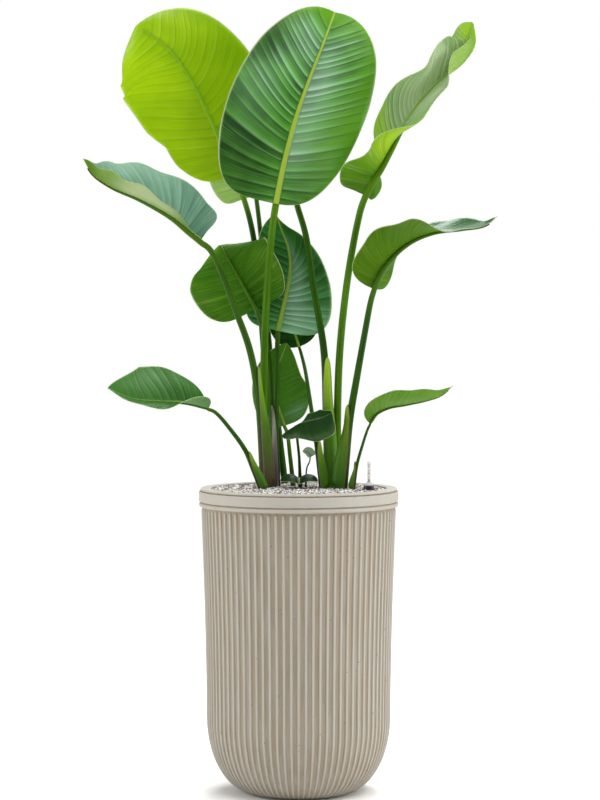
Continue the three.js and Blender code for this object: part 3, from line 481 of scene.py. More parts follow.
leaves = {
    "crown": leaf_of(
        (-62, 78), [(-63, 62, 700), (-62, 50, 815), (-56, 42, 925), (-48, 28, 1015), (-43, 19, 1050)],
        [(-41, 16, 1062), (-25, 13, 1140), (-3, 15, 1222), (19, 20, 1285), (44, 32, 1350), (66, 62, 1412)],
        [(0, -1, 0.1), (0, -1, 0.05), (0.1, -1, 0.35)],
        half_of(130, (0.3, 0.45), (15, 20, 20), (0, -8, -20)),
        half_of(124, (0.5, 0.42), (22, 26, 20), (-25, -30, -35)),
        lobe=0.03, ripple=(3, 3), radii=(9, 6.2, 1.4)),
    "upper_left": leaf_of(
        (-49, 128), [(-58, 134, 690), (-68, 142, 835), (-83, 140, 1000), (-98, 138, 1065), (-112, 134, 1102)],
        [(-120, 130, 1118), (-145, 112, 1183), (-165, 100, 1228), (-199, 86, 1295), (-236, 80, 1346),
         (-276, 92, 1377), (-302, 118, 1390)],
        [(0.1, 1, 0.2), (0.1, 1, 0.1), (0.35, 0.9, -0.2)],
        half_of(124, (0.4, 0.5), (12, 24, 20), (10, 20, 50)),
        half_of(127, (0.42, 0.24), (4, 4, 4), (-8, 0, 15)),
        lobe=0.04, ripple=(3.5, 4), radii=(7.5, 5, 1.2), nick=(1, 0.2, 0.08, 13)),
    "back_left": leaf_of(
        (-26, 136), [(-57, 158, 833), (-70, 160, 1001), (-77, 158, 1064)],
        [(-79, 158, 1084), (-93, 172, 1150), (-108, 198, 1226), (-118, 235, 1285)],
        [(0.1, 1, 0.1), (0.1, 1, -0.3), (0.1, 0.9, -0.6)],
        half_of(58, (0.36, 0.6), (10, 10, 10), (0, 0, 10)),
        half_of(82, (0.36, 0.6), (0, 5, 10), (-10, 0, 10)),
        lobe=0.1, ripple=(2, 3), radii=(6.5, 4.2, 1.1)),
    "back": leaf_of(
        (56, 37), [(51, 44, 690), (46, 48, 797), (28, 56, 907), (13, 62, 1007), (0, 68, 1052)],
        [(-4, 72, 1068), (6, 92, 1130), (20, 132, 1215), (34, 182, 1285)],
        [(0, -1, 0.15), (0, -1, 0.4), (0, -0.9, 0.8)],
        half_of(46, (0.7, 0.6), (20, 20, 20), (0, 0, -20)),
        half_of(46, (0.7, 0.6), (20, 20, 20), (0, 0, -20)),
        lobe=0.06, ripple=(2, 3), radii=(9.5, 5.4, 1.1), sheath=(0.42, 7, 20)),
    "upper_right": leaf_of(
        (69, 62), [(74, 45, 779), (86, 25, 907), (100, 8, 996), (112, -7, 1052)],
        [(121, -12, 1075), (139, -18, 1112), (160, -20, 1152), (184, -12, 1196), (218, 5, 1244),
         (258, 20, 1287), (296, 28, 1318), (317, 38, 1352), (314, 50, 1393)],
        [(0.1, 1, 0), (-0.8, 0.2, 0.2), (-0.6, -0.8, 0.3), (-0.2, -1, 0.1), (0, -1, 0.1), (0.1, -1, 0)],
        half_of(58, (0.6, 0.35), (50, 45, 40, 60, 10, 10), (60, 45, 50, 75, 15, 10)),
        half_of(66, (0.3, 0.8), (10, 10, 20, 50, 140, 150), (-10, 20, 40, 70, 150, 160)),
        lobe=0.08, ripple=(3, 4), radii=(8.5, 6, 1.1)),
    "left": leaf_of(
        (-60, 26), [(-72, 22, 707), (-88, 10, 798), (-113, -5, 870), (-138, -14, 938), (-160, -21, 980)],
        [(-174, -25, 997), (-194, -32, 1012), (-224, -46, 1036), (-279, -78, 1066), (-330, -110, 1087),
         (-360, -132, 1108), (-375, -142, 1134)],
        [(0.5, -0.2, 0.8), (0.3, -0.15, 0.9), (0.3, -0.1, 1), (0.6, 0, 0.8)],
        half_of(27, (1.3, 0.6), (85, 80, 90, 90), (80, 75, 115, 120), lobe=0.04),
        half_of(75, (0.4, 0.72), (62, 62, 58, 50), (55, 55, 50, 50)),
        lobe=0.1, ripple=(3, 4), radii=(10, 5.4, 1.2), sheath=(0.42, 8, 15)),
    "right": leaf_of(
        (78, 3), [(92, 0, 672), (104, -8, 744), (118, -22, 825), (129, -33, 885)],
        [(134, -38, 908), (146, -46, 938), (167, -56, 966), (199, -70, 992), (238, -88, 1007),
         (286, -108, 1012), (327, -122, 1018), (348, -128, 1034)],
        [(-0.2, 1, 0.1), (-0.5, 0.7, 0.5), (-0.2, 0.2, 1), (0, 0, 1), (-0.2, 0, 1)],
        half_of(55, (0.38, 0.7), (45, 35, 30, 35, 35), (50, 40, 35, 40, 40)),
        half_of(72, (0.5, 0.85), (0, 5, 15, -5, 0), (0, 10, 20, -10, 0), lobe=0.02),
        lobe=0.06, ripple=(2.5, 4), radii=(10.5, 5, 1.1), sheath=(0.34, 9, 170)),
    "mid_left": leaf_of(
        (-47, 91), [(-49, 92, 690), (-57, 94, 797), (-68, 93, 843), (-75, 92, 862)],
        [(-78, 92, 872), (-91, 88, 896), (-113, 84, 936), (-129, 90, 964), (-141, 108, 984),
         (-148, 132, 990)],
        [(0.1, 1, 0.1), (0.1, 1, 0.1), (0.3, 0.8, -0.5)],
        half_of(82, (0.3, 0.36), (-2, -5, 30), (-15, -15, 70)),
        half_of(96, (0.36, 0.45), (8, 8, 10), (0, 0, 15)),
        lobe=0.06, ripple=(2.5, 3), radii=(6, 4.2, 1.1)),
    "middle": leaf_of(
        (-41, 50), [(-42, 64, 651), (-40, 86, 760), (-39, 97, 812)],
        [(-38, 101, 832), (-27, 103, 881), (-18, 107, 926), (-16, 113, 959), (-21, 121, 989),
         (-32, 131, 1018), (-42, 142, 1048)],
        [(0, -1, 0.1), (0.1, -1, 0.15), (0.2, -1, 0.3)],
        half_of(78, (0.36, 0.6), (0, -4, 0), (-20, -14, 0)),
        half_of(90, (0.5, 1.45), (18, 22, 25), (-10, -20, -20)),
        lobe=0.05, ripple=(2, 3), radii=(8, 4.4, 1.2), sheath=(0.3, 6, 160)),
    "inner": leaf_of(
        (44, 8), [(33, 20, 626), (22, 46, 697), (12, 82, 760), (4, 116, 792)],
        [(1, 128, 802), (-9, 138, 833), (-24, 152, 874), (-39, 172, 911)],
        [(0, -1, 0.2), (0, -1, 0.4), (0, -1, 0.6)],
        half_of(45, (0.45, 0.6), (20, 20, 20), (0, 0, 0)),
        half_of(50, (0.45, 0.6), (20, 20, 20), (-10, -10, 0)),
        lobe=0.02, ripple=(1.5, 3), radii=(7, 2.8, 0.9), sheath=(0.3, 5, 0)),
    "lower_middle": leaf_of(
        (-10, 72), [(-16, 80, 604), (-21, 94, 643)],
        [(-26, 98, 657), (-40, 107, 704), (-42, 112, 750), (-22, 113, 809)],
        [(0.1, -1, 0.1), (0.1, -1, 0.1), (0.1, -1, 0.1)],
        half_of(44, (0.45, 0.7), (0, 0, 0), (-12, -12, 0)), half_of(61, (0.45, 0.8), (5, 5, 5), (5, 5, 5)),
        lobe=0.03, ripple=(1.5, 3), radii=(5, 3.4, 0.9)),
    "low_left": leaf_of(
        (-66, -6), [(-80, -8, 582), (-96, -14, 618), (-120, -25, 653), (-150, -40, 688)],
        [(-162, -46, 697), (-200, -62, 706), (-246, -80, 709), (-289, -94, 713), (-337, -108, 733)],
        [(0.4, -0.4, 0.8), (0.1, -0.3, 1), (0, -0.3, 1)],
        half_of(36, (0.4, 0.8), (60, 0, -5), (110, -10, 0)),
        half_of(72, (1.1, 0.85), (55, 50, 45), (40, 40, 45)),
        lobe=0.04, ripple=(2, 3), radii=(7, 3.2, 0.9), sheath=(0.4, 5, 0)),
    "low_right": leaf_of(
        (98, -8), [(105, -8, 591), (115, -11, 627), (124, -14, 655)],
        [(128, -16, 667), (139, -20, 683), (161, -28, 695), (191, -40, 701), (227, -54, 709), (253, -64, 718),
         (274, -72, 736)],
        [(-0.4, 0.9, 0.3), (-0.4, 0.5, 0.8), (0, 0.1, 1), (0, 0, 1)],
        half_of(22, (0.4, 0.9), (45, 40, 50, 60), (60, 50, 60, 60)),
        half_of(38, (0.6, 0.9), (5, 20, 45, 50), (0, 35, 45, 50)),
        lobe=0.01, ripple=(1.5, 3), radii=(4.5, 2.3, 0.8), sheath=(0.3, 3.5, 180)),
    "cupped": leaf_of(
        (3, 47), [(1, 42, 600), (-3, 26, 641)],
        [(-6, 16, 660), (4, 7, 666), (22, -1, 671), (42, -7, 676), (61, -10, 685)],
        [(0, -0.3, 1), (0, -0.2, 1), (-0.2, -0.2, 1)],
        half_of(30, (0.3, 0.5), (5, 15, 20), (0, 40, 60), lobe=0.4),
        half_of(46, (0.9, 0.4), (-20, -30, -30), (-100, -100, -80)),
        lobe=0.5, ripple=(1.5, 3), radii=(4, 2.2, 0.9)),
    "seedling": leaf_of(
        (3, 22), [(3, 23, 556)],
        [(2, 22, 565), (1, 8, 567), (1, -8, 564), (1, -20, 557)],
        [(0, -0.2, 1), (0, -0.2, 1), (0, -0.6, 0.8)],
        half_of(40, (0.3, 0.3), (50, 50, 40), (-70, -75, -60)),
        half_of(40, (0.3, 0.3), (50, 50, 40), (-70, -75, -60)),
        lobe=0.1, ripple=(1, 2), radii=(2, 1.5, 0.8)),
    "sprout": leaf_of(
        (13, 36), [(15, 36, 583), (20, 33, 595)],
        [(22, 28, 604), (20, 26, 609), (15, 24, 613), (7, 22, 614)],
        [(0.1, -1, 0.4), (0.1, -1, 0.4), (0.1, -1, 0.4)],
        half_of(7, (0.45, 0.8), (15, 15, 15), (5, 5, 5)), half_of(11, (0.45, 0.8), (15, 15, 15), (5, 5, 5)),
        lobe=0.05, ripple=(0.4, 2), radii=(2.2, 1.2, 0.6)),
}
print(len(leaves), "leaves")

# %% [markdown]
# ## How a blade is made
#
# A blade starts as a flat grid, as wide as it has veins across and as long as its midrib. Each point of the
# grid is then sent to its place: along the midrib, out along its vein to the margin, and up or down with the
# fold of the leaf. Veins leave the midrib at a slant and run side by side to the margin, so a row of the grid
# is a vein. Each main vein is a sharp crease: the blade drops into it on the side of the base and comes out
# of it in a low crest, then slopes gently to the next. These pleats are real relief, about a millimetre deep.
# The finish adds the finest veins, a painted highlight along each crest and painted shade along each crease.

# %% From a share of the blade to a place in space
GUTTER = 3  # the strip on each side of the midrib that stays level with it
MIDRIB_SHARE = 0.93  # where along the blade the last vein leaves the midrib
SWEEP = 0.17  # how far the outline is drawn towards the tip, half way up
LOBE_AT = 0.09  # where along the blade a base lobe is fullest
VEIN_BEND = 1.35  # above 1, a vein starts across the blade and turns towards the tip
LEAST_TURN = 0.001  # in radians; a half that is flatter is bent by so much, so that its arc has a radius


class Spine:
    """The midrib's curve, with the direction of the upper side at each share of it."""

    def __init__(self, leaf):
        self.places, self.directions, self.length = curve_through(leaf["midrib"])
        self.faces = leaf["faces"]

    def frame(self, u):
        """The place, the way forward, the way up and the way to the right at the shares u."""
        inside = np.clip(u, 0, 1)
        forward = unit(at_share(self.directions, inside))
        place = at_share(self.places, inside) + forward * ((u - inside) * self.length)[..., None]
        up = along(self.faces, inside)
        up = unit(up - forward * np.sum(up * forward, axis=-1, keepdims=True))
        return place, forward, up, np.cross(forward, up)


def half_blade(leaf, spine, half, sign, s, a):
    """Places for the points of one half, its outline share and its distance from the midrib."""
    p, q = half["outline"]
    swept = s + SWEEP * np.sin(np.pi * s)
    peak = p / (p + q)
    near_base = s / LOBE_AT
    margin_at = swept - half["lobe"] * math.e * near_base * np.exp(-near_base)
    share = (swept / peak) ** p * (np.maximum(1 - swept, 0) / (1 - peak)) ** q
    out = half["width"] * share * a
    if leaf["nick"] and leaf["nick"][0] == sign:
        _, at, depth, sharpness = leaf["nick"]
        out = out * (1 - depth * np.clip(1 - np.abs(at - s) * sharpness, 0, 1))
    vein_at = s * MIDRIB_SHARE
    u = vein_at + (margin_at - vein_at) * a ** VEIN_BEND
    place, _, up, side = spine.frame(u)
    start = np.radians(along(half["fold"], u))
    turn = np.radians(along(half["curl"], u)) - start
    turn = np.where(np.abs(turn) < LEAST_TURN, LEAST_TURN, turn)
    bent = np.maximum(out - GUTTER, 0) / half["width"]
    over = (np.sin(start + turn * bent) - np.sin(start)) / turn
    rise = (np.cos(start) - np.cos(start + turn * bent)) / turn
    height, waves = leaf["ripple"]
    ripple = height * a * a * share * np.sin(2 * np.pi * waves * swept + (1 if sign < 0 else 0))
    place = place + side * (sign * (np.minimum(out, GUTTER) + over * half["width"]))[..., None]
    return place + up * (rise * half["width"] + ripple)[..., None], share, out


print("the crown's midrib is", round(Spine(leaves["crown"]).length), "mm long")

# %% The pleats of a blade
# From a crease towards the tip: how far, how high, how much crest (painted highlight) and crease (painted
# shade).
PLEAT = ((0, -0.6, 0, 1), (0.06, 0, 0.55, 0.5), (0.14, 0.45, 1, 0), (0.25, 0.4, 0.75, 0), (0.4, 0.3, 0.45, 0),
         (0.55, 0.15, 0.25, 0), (0.7, 0, 0.1, 0), (0.85, -0.15, 0.02, 0.15), (0.95, -0.35, 0, 0.55))
WIDTHS, DEPTHS = (0.5, 1.4), (0.55, 1)  # how much pleats differ from the usual one
END_ROWS, END_CROWDED = 12, 1.3  # rows that refine each end, and how much they crowd there
LEAST_STEP = 0.15  # rows nearer than this are left out


def pleat_rows(chance, length, spacing):
    """Rows of a blade, crowded at each crease and at both ends: place, height, crest, crease and tone. Crest
    is a painted highlight and crease painted shade.
    """
    rows = []
    start = 0
    while start < length:
        width, depth, tone = spacing * chance.uniform(*WIDTHS), chance.uniform(*DEPTHS), chance.random()
        rows += [(start + at * width, height * depth, crest * depth, crease * depth, tone)
                 for at, height, crest, crease in PLEAT]
        start += width
    rows = np.array(rows)
    ends = np.linspace(0, END_ROWS, END_ROWS) ** END_CROWDED
    ends = ends[ends < length / 3]
    places = np.union1d(rows[rows[:, 0] < length, 0], np.concatenate([ends, length - ends]))
    places = places[np.concatenate([[True], np.diff(places) > LEAST_STEP])]
    places[-1] = length
    return np.stack([places] + [np.interp(places, rows[:, 0], rows[:, k]) for k in range(1, 5)])


print("a blade of 100 mm has", pleat_rows(random.Random(0), 100, 15).shape[1], "rows")

# %% [markdown]
# ## The finish of a blade
#
# A living leaf is a waxy skin over wet green tissue. The skin gives a soft sheen and carries a bluish bloom.
# The tissue lets light through and turns it yellow-green, so a leaf with the light behind it glows. Veins are
# paler than the tissue, because they hold no green, and the finest are drawn about 1.6 mm apart. Light and
# shade are also painted into the colour: a highlight on each crest and along it lines of the bloom colour,
# shade in each crease, and broad zones of bloom colour (partly bloom, partly painted sheen), of glow colour
# (partly yellower young tissue, partly painted glow) and of near-black green (painted shade). The pattern
# follows the blade: it reads, from the mesh, how far along the midrib a vein starts, how far out the point
# is, what the pleat does there, how much bloom and painted sheen, young tissue and painted glow, and painted
# shade the zone has, how wide the midrib is, and where the blade is open enough for its veins to show.

# %% Blade finish
MARGIN_COLOUR = 0xC8D8A0
KEPT = ("lamina", "pleat", "zones")  # vectors on the mesh: where a point is, its pleat and its zones


def blade_finish(name, deep, light, vein, glow, bloom_and_sheen_colour, even, sheen, gloss, veins, striped, lined, creased,
                 rib=None):
    """One side of a blade. Crests get painted highlights, striped and lined, creases painted shade, and the
    bloom and painted sheen lie even or not.
    """
    made, tree = material(name)
    deep, light, vein, glow, bloom_and_sheen_colour = (colour(shade) for shade in (deep, light, vein, glow, bloom_and_sheen_colour))
    (run, across, off), (crest, crease, tone), (bloom_and_painted_sheen, young_tissue_and_painted_glow, dark) = (
        node(tree, "SeparateXYZ", {"Vector": node(tree, "Attribute", attribute_name=kept)["Vector"]})
        for kept in KEPT)
    wide = node(tree, "Attribute", attribute_name="open")["Fac"]
    place = node(tree, "TexCoord")["Object"]
    broad = node(tree, "TexNoise", {"Vector": place, "Scale": 14, "Detail": 2})["Fac"]
    outward = node(tree, "Math", {0: off, 1: 0.016}, operation="MULTIPLY")[0]
    lines = node(tree, "CombineXYZ", {"X": run, "Y": outward})[0]
    fine = node(tree, "TexNoise", {"Vector": lines, "Scale": 620, "Detail": 2, "Roughness": 0.6},
                noise_dimensions="2D")["Fac"]
    fibre = node(tree, "Math", {0: fine, 1: 0.5, 2: -0.25}, operation="MULTIPLY_ADD")[0]
    # random tone and fine veins vary the green; the crest term is a painted highlight on each crest
    lightness = -0.2 - 0.35 * striped
    for amount, share in ((broad, 1.2), (tone, 0.3 * striped), (crest, 0.8 * striped), (fibre, wide)):
        lightness = node(tree, "Math", {0: amount, 1: share, 2: lightness}, operation="MULTIPLY_ADD")[0]
    stripe = node(tree, "MapRange", {"Value": fine, "From Min": 0.58, "From Max": 0.72, "To Max": veins})[0]
    narrow = node(tree, "Math", {0: crest, 1: crest}, operation="MULTIPLY")[0]
    crested = node(tree, "Math", {0: narrow, 1: 1 - even, 2: even}, operation="MULTIPLY_ADD")[0]
    covered = node(tree, "Math", {0: young_tissue_and_painted_glow, 1: dark}, operation="MAXIMUM")[0]
    bare = node(tree, "Math", {0: 1.0, 1: covered}, operation="SUBTRACT")[0]
    margin = node(tree, "MapRange", {"Value": across, "From Min": 0.975, "From Max": 0.992, "To Max": 0.8})[0]
    # coats: glow colour in young zones (partly young tissue, partly painted glow), veins, painted shade in
    # creases, bloom colour in bloom zones (partly bloom, partly painted sheen) and as painted highlight lines
    # on crests, painted shade in the dark zones, and the pale margin
    coats = [(light, lightness), (glow, young_tissue_and_painted_glow), (vein, stripe, wide), (darker(deep, 0.3), crease, creased),
             (bloom_and_sheen_colour, bare, bloom_and_painted_sheen, crested), (bloom_and_sheen_colour, bare, narrow, narrow, lined),
             (darker(deep, 0.35), dark, 0.8), (colour(MARGIN_COLOUR), margin)]
    if rib is not None:
        half_width = node(tree, "Attribute", attribute_name="rib")["Fac"]
        from_rib = node(tree, "Math", {0: off, 1: half_width}, operation="DIVIDE")[0]
        on_rib = node(tree, "MapRange", {"Value": from_rib, "From Min": 0.8, "From Max": 1.1,
                                         "To Min": 1, "To Max": 0})[0]
        coats.append((colour(rib), on_rib))
    painted = coated(tree, deep, coats)
    ribbed = node(tree, "Math", {0: wide, 1: 0.1}, operation="MULTIPLY")[0]
    skin, normal = skinned(tree, painted, fine, ribbed, depth=0.3, roughness=sheen, gloss=gloss)
    through = node(tree, "BsdfTranslucent", {"Color": coated(tree, painted, [(glow, 0.5)]),
                                             "Normal": normal})[0]
    both = node(tree, "MixShader", {0: 0.3, 1: skin, 2: through})[0]
    node(tree, "OutputMaterial", {"Surface": both})
    return made


print("a blade finish reads", *KEPT, "and the values open and rib")

# %% The colours of each leaf
# Upper and under side: deep and light tissue, vein and the glow of light let through; then the sheen.
# Each leaf's greens are matched to how it looks where it stands, so a leaf in shade has darker greens and one
# with light behind it yellower ones: partly its own colour, partly painted light and shade.
BLADE_SHADES = {
    "crown": ((0x124403, 0x70C840, 0x8CC078, 0x68A80E), (0x4E8A1E, 0x7DB030, 0xA8CC70, 0x8CC000), 0.34),
    "upper_left": ((0x5E9A18, 0x8CBC20, 0xB4D050, 0xA8D000), (0x80B000, 0xB8D80A, 0xC8E408, 0xB4D800), 0.42),
    "back_left": ((0x7EB048, 0xBCD884, 0xC6DA9C, 0xA8D000), (0x98BC5C, 0xC8E094, 0xD0E0AC, 0xB0D800), 0.5),
    "back": ((0x2C6420, 0x4F8A36, 0x88B070, 0x6FA820), (0x4E8022, 0x76A23C, 0xA0C070, 0x8CC000), 0.4),
    "upper_right": ((0x5C9450, 0xB8D09C, 0xD4E4C4, 0x9CC800), (0x468408, 0x84B82C, 0xC8DCA0, 0xA4C800), 0.42),
    "left": ((0x2E7250, 0x94BCA4, 0xA8C8B0, 0x5C9A50), (0x4A8204, 0x8CB040, 0xB4C98A, 0x9CC040), 0.36),
    "right": ((0x1E5A18, 0x4E8A5A, 0xB4CCB8, 0x6FA820), (0x446C00, 0x5E8A02, 0x90B048, 0x86B400), 0.38),
    "mid_left": ((0x2E6A10, 0x5C9430, 0x94B860, 0x6FA820), (0x245A02, 0x568C08, 0x88B044, 0x6FA400), 0.42),
    "middle": ((0x246006, 0x62BA64, 0x86AE94, 0x3C8020), (0x2C6010, 0x4E8A30, 0x88B070, 0x5C9A20), 0.3),
    "inner": ((0x032C03, 0x1E5A04, 0x6E9A50, 0x3C8010), (0x1E4E08, 0x3C7420, 0x76A050, 0x4E8A10), 0.36),
    "lower_middle": ((0x376A02, 0x4C8A04, 0x6AA030, 0x5C9A10),
                     (0x3C7410, 0x5C9430, 0x88B060, 0x6AA020), 0.42),
    "low_left": ((0x2A660A, 0x4C8834, 0x8AB07C, 0x5C9A30), (0x4E7E38, 0x8AB07C, 0xC4D4B0, 0x8CB850), 0.4),
    "low_right": ((0x3C7A24, 0x6A9E50, 0xA8C890, 0x6FA820), (0x4E8410, 0x88B04C, 0xAEC890, 0x7AAC20), 0.42),
    "cupped": ((0x031603, 0x1E5A03, 0x2E6810, 0x2C7000), (0x4A7E30, 0x8EB474, 0xBCD0A0, 0x8CB850), 0.4),
    "seedling": ((0x062400, 0x103A04, 0x244E10, 0x2C7000), (0x0A3000, 0x1C4A08, 0x3C6820, 0x4E8A10), 0.45),
    "sprout": ((0xA0C49C, 0xD4E4CC, 0xC8D8C4, 0x8CB870), (0x7AA478, 0xB0C8AC, 0xD0DCCC, 0x8CB870), 0.5),
}
# What differs from leaf to leaf; a leaf that isn't named has the value in the loop below.
MIDRIB_COLOUR = {"crown": 0xB2CC48, "middle": 0x8CAC3C, "left": 0x8FB070}
# The bloom colour is partly the leaf's bloom and partly painted sheen; it also paints the highlight lines on
# the crests.
UPPER_BLOOM_AND_SHEEN = {"crown": 0xC4E0D4, "upper_right": 0xD0DCB8, "left": 0xA6CCB8, "mid_left": 0x8FB878,
               "low_left": 0x9CC498, "sprout": 0xC8DCCC, "cupped": 0x86A870}
UNDER_BLOOM_AND_SHEEN = {"left": 0xD4DEB0, "upper_left": 0xE8F2C0, "upper_right": 0xACCA70}
EVEN_BLOOM_AND_SHEEN = {"upper_right": 0.6, "left": 0.7}
# how strongly each leaf shows its painted crest highlights and painted crease shade
PLEATED = {"left": 0.45, "right": 0.4, "inner": 0.5, "lower_middle": 0.22, "low_left": 0.5, "low_right": 0.6,
           "cupped": 0.1, "seedling": 0.1, "sprout": 0.2, "upper_left": 0.7}
FINE_VEINS = {"right": 0.15, "seedling": 0.2, "cupped": 0.3}
# how strong the painted highlight lines along the crests are
LINED = {"crown": 1, "middle": 0.1}

blade_finishes = {}
for name, (upper, under, sheen) in BLADE_SHADES.items():
    pleated, even = PLEATED.get(name, 1), EVEN_BLOOM_AND_SHEEN.get(name, 0.3)
    blade_finishes[name] = (
        blade_finish(f"waxy_leaf_upper_side_{name}", *upper, UPPER_BLOOM_AND_SHEEN.get(name, 0xB4D2C4), even,
                     sheen, gloss=0.25, veins=FINE_VEINS.get(name, 0.5), striped=pleated,
                     lined=0.6 * pleated * LINED.get(name, 0.5), creased=0.9 * pleated,
                     rib=MIDRIB_COLOUR.get(name, 0x8CB03C)),
        blade_finish(f"waxy_leaf_under_side_{name}", *under, UNDER_BLOOM_AND_SHEEN.get(name, under[2]), even,
                     sheen + 0.15, gloss=0.1, veins=0.4, striped=0.3 * pleated,
                     lined=0.1 * pleated, creased=0.4 * pleated))
print(2 * len(blade_finishes), "blade finishes")

# %% [markdown]
# ## Making each blade
#
# The grid's rows crowd at each crease and its columns towards the midrib, where the surface changes
# fastest. The upper side carries the midrib as a low rounded rib. Solidify gives the sheet its thickness and
# puts the second finish on the under side.

# %% Where a blade has bloom and painted sheen, young tissue and painted glow, or painted shade
# Zone kinds: bloom with painted sheen, young tissue with painted glow, and painted shade (the dark zones).
BLOOM_AND_PAINTED_SHEEN, YOUNG_AND_PAINTED_GLOW, PAINTED_SHADE = range(3)
BOTH = 0
# A zone: its kind, its half (-1 left, 1 right), how far up, spread, how far out, spread, and strength.
ZONES = {
    "crown": [(BLOOM_AND_PAINTED_SHEEN, 1, 0.62, 0.26, 0.16, 0.3, 1.2), (BLOOM_AND_PAINTED_SHEEN, 1, 0.3, 0.14, 0.05, 0.3, 0.8),
              (BLOOM_AND_PAINTED_SHEEN, -1, 0.82, 0.16, 0.4, 0.5, 0.7), (BLOOM_AND_PAINTED_SHEEN, -1, 0.45, 0.2, 0.75, 0.35, 0.6),
              (YOUNG_AND_PAINTED_GLOW, BOTH, 1.03, 0.1, 0.6, 0.8, 1.1), (YOUNG_AND_PAINTED_GLOW, BOTH, 0.9, 0.16, 1.0, 0.16, 0.9),
              (YOUNG_AND_PAINTED_GLOW, 1, 0.4, 0.35, 0.9, 0.4, 0.7), (YOUNG_AND_PAINTED_GLOW, 1, 0.16, 0.18, 1.02, 0.07, 1),
              (YOUNG_AND_PAINTED_GLOW, 1, 0.28, 0.2, 0.55, 0.35, 0.4), (BLOOM_AND_PAINTED_SHEEN, 1, 0.3, 0.2, 0.65, 0.35, 0.8),
              (PAINTED_SHADE, -1, 0.1, 0.22, 0.7, 0.6, 0.75), (PAINTED_SHADE, -1, 0.62, 0.12, 0.95, 0.25, 0.7),
              (PAINTED_SHADE, 1, 0.02, 0.12, 0.6, 0.6, 0.5)],
    "upper_left": [(BLOOM_AND_PAINTED_SHEEN, -1, 0.88, 0.12, 1.0, 0.2, 0.9), (BLOOM_AND_PAINTED_SHEEN, 1, 1.0, 0.03, 0.9, 0.3, 0.5),
                   (PAINTED_SHADE, BOTH, 0.04, 0.14, 0.3, 0.7, 0.25), (PAINTED_SHADE, -1, 0.3, 0.3, 0.3, 0.6, 0.22),
                   (YOUNG_AND_PAINTED_GLOW, 1, 0.65, 0.35, 0.7, 0.4, 0.5), (PAINTED_SHADE, 1, 0.3, 0.18, 0.1, 0.3, 0.4)],
    "upper_right": [(BLOOM_AND_PAINTED_SHEEN, -1, 0.56, 0.18, 0.4, 0.6, 1.4), (BLOOM_AND_PAINTED_SHEEN, 1, 0.66, 0.2, 0.5, 0.8, 1.6),
                    (YOUNG_AND_PAINTED_GLOW, -1, 0.84, 0.12, 0.5, 0.6, 0.35), (PAINTED_SHADE, -1, 0.84, 0.12, 0.5, 0.6, 0.2),
                    (YOUNG_AND_PAINTED_GLOW, BOTH, 1.0, 0.1, 0.5, 0.8, 0.9), (YOUNG_AND_PAINTED_GLOW, BOTH, 0.24, 0.08, 0.6, 0.8, 1.0),
                    (PAINTED_SHADE, BOTH, 0.02, 0.1, 0.6, 0.9, 0.6)],
    "left": [(BLOOM_AND_PAINTED_SHEEN, BOTH, 0.5, 0.5, 0.4, 0.8, 0.2), (BLOOM_AND_PAINTED_SHEEN, 1, 0.5, 0.32, 1.0, 0.4, 0.9),
             (BLOOM_AND_PAINTED_SHEEN, -1, 0.34, 0.2, 0.7, 0.5, 1.1), (BLOOM_AND_PAINTED_SHEEN, -1, 0.58, 0.14, 0.3, 0.3, 0.6),
             (PAINTED_SHADE, -1, 0.95, 0.14, 0.6, 0.8, 0.35), (PAINTED_SHADE, BOTH, 0.03, 0.18, 0.5, 0.6, 0.45)],
    "right": [(BLOOM_AND_PAINTED_SHEEN, BOTH, 0.9, 0.08, 0.4, 0.4, 0.6), (PAINTED_SHADE, BOTH, 0.95, 0.1, 0.4, 0.6, 0.6),
              (PAINTED_SHADE, BOTH, 0.3, 0.2, 0.7, 0.4, 0.3)],
    "mid_left": [(BLOOM_AND_PAINTED_SHEEN, BOTH, 0.3, 0.12, 0.9, 0.3, 0.5), (YOUNG_AND_PAINTED_GLOW, BOTH, 1.02, 0.12, 0.5, 0.9, 0.5),
                 (PAINTED_SHADE, BOTH, 0.6, 0.3, 0.2, 0.3, 0.3)],
    "middle": [(BLOOM_AND_PAINTED_SHEEN, 1, 0.45, 0.4, 0.2, 0.3, 1.2), (BLOOM_AND_PAINTED_SHEEN, 1, 0.08, 0.12, 0.7, 0.4, 1.3),
               (PAINTED_SHADE, 1, 0.5, 0.3, 0.85, 0.3, 0.9), (PAINTED_SHADE, -1, 0.5, 0.6, 0.4, 0.5, 0.6)],
    "inner": [(PAINTED_SHADE, BOTH, 0.4, 0.4, 0.5, 0.6, 0.5)],
    "lower_middle": [(BLOOM_AND_PAINTED_SHEEN, BOTH, 0.1, 0.1, 0.6, 0.5, 0.4)],
    "low_left": [(BLOOM_AND_PAINTED_SHEEN, 1, 0.5, 0.4, 0.7, 0.3, 0.4), (PAINTED_SHADE, BOTH, 0.3, 0.15, 0.3, 0.4, 0.3)],
    "low_right": [(BLOOM_AND_PAINTED_SHEEN, BOTH, 0.5, 0.3, 0.3, 0.2, 0.5)],
    "cupped": [(PAINTED_SHADE, BOTH, 0.5, 0.4, 0.2, 0.4, 0.5), (BLOOM_AND_PAINTED_SHEEN, 1, 0.5, 0.6, 1.0, 0.22, 0.9)],
}


def zones_of(name, side, s, a):
    """How much bloom and painted sheen, young tissue and painted glow, and painted shade there is at each
    point.
    """
    found = np.zeros((len(s), 3))
    for kind, half, up, up_spread, out, out_spread, strength in ZONES.get(name, []):
        near = np.exp(-((s - up) / up_spread) ** 2 - ((a - out) / out_spread) ** 2)
        found[:, kind] += strength * near * ((half == BOTH) | (side == half))
    return np.clip(found, 0, 1)


print(sum(len(zones) for zones in ZONES.values()), "zones on", len(ZONES), "leaves")

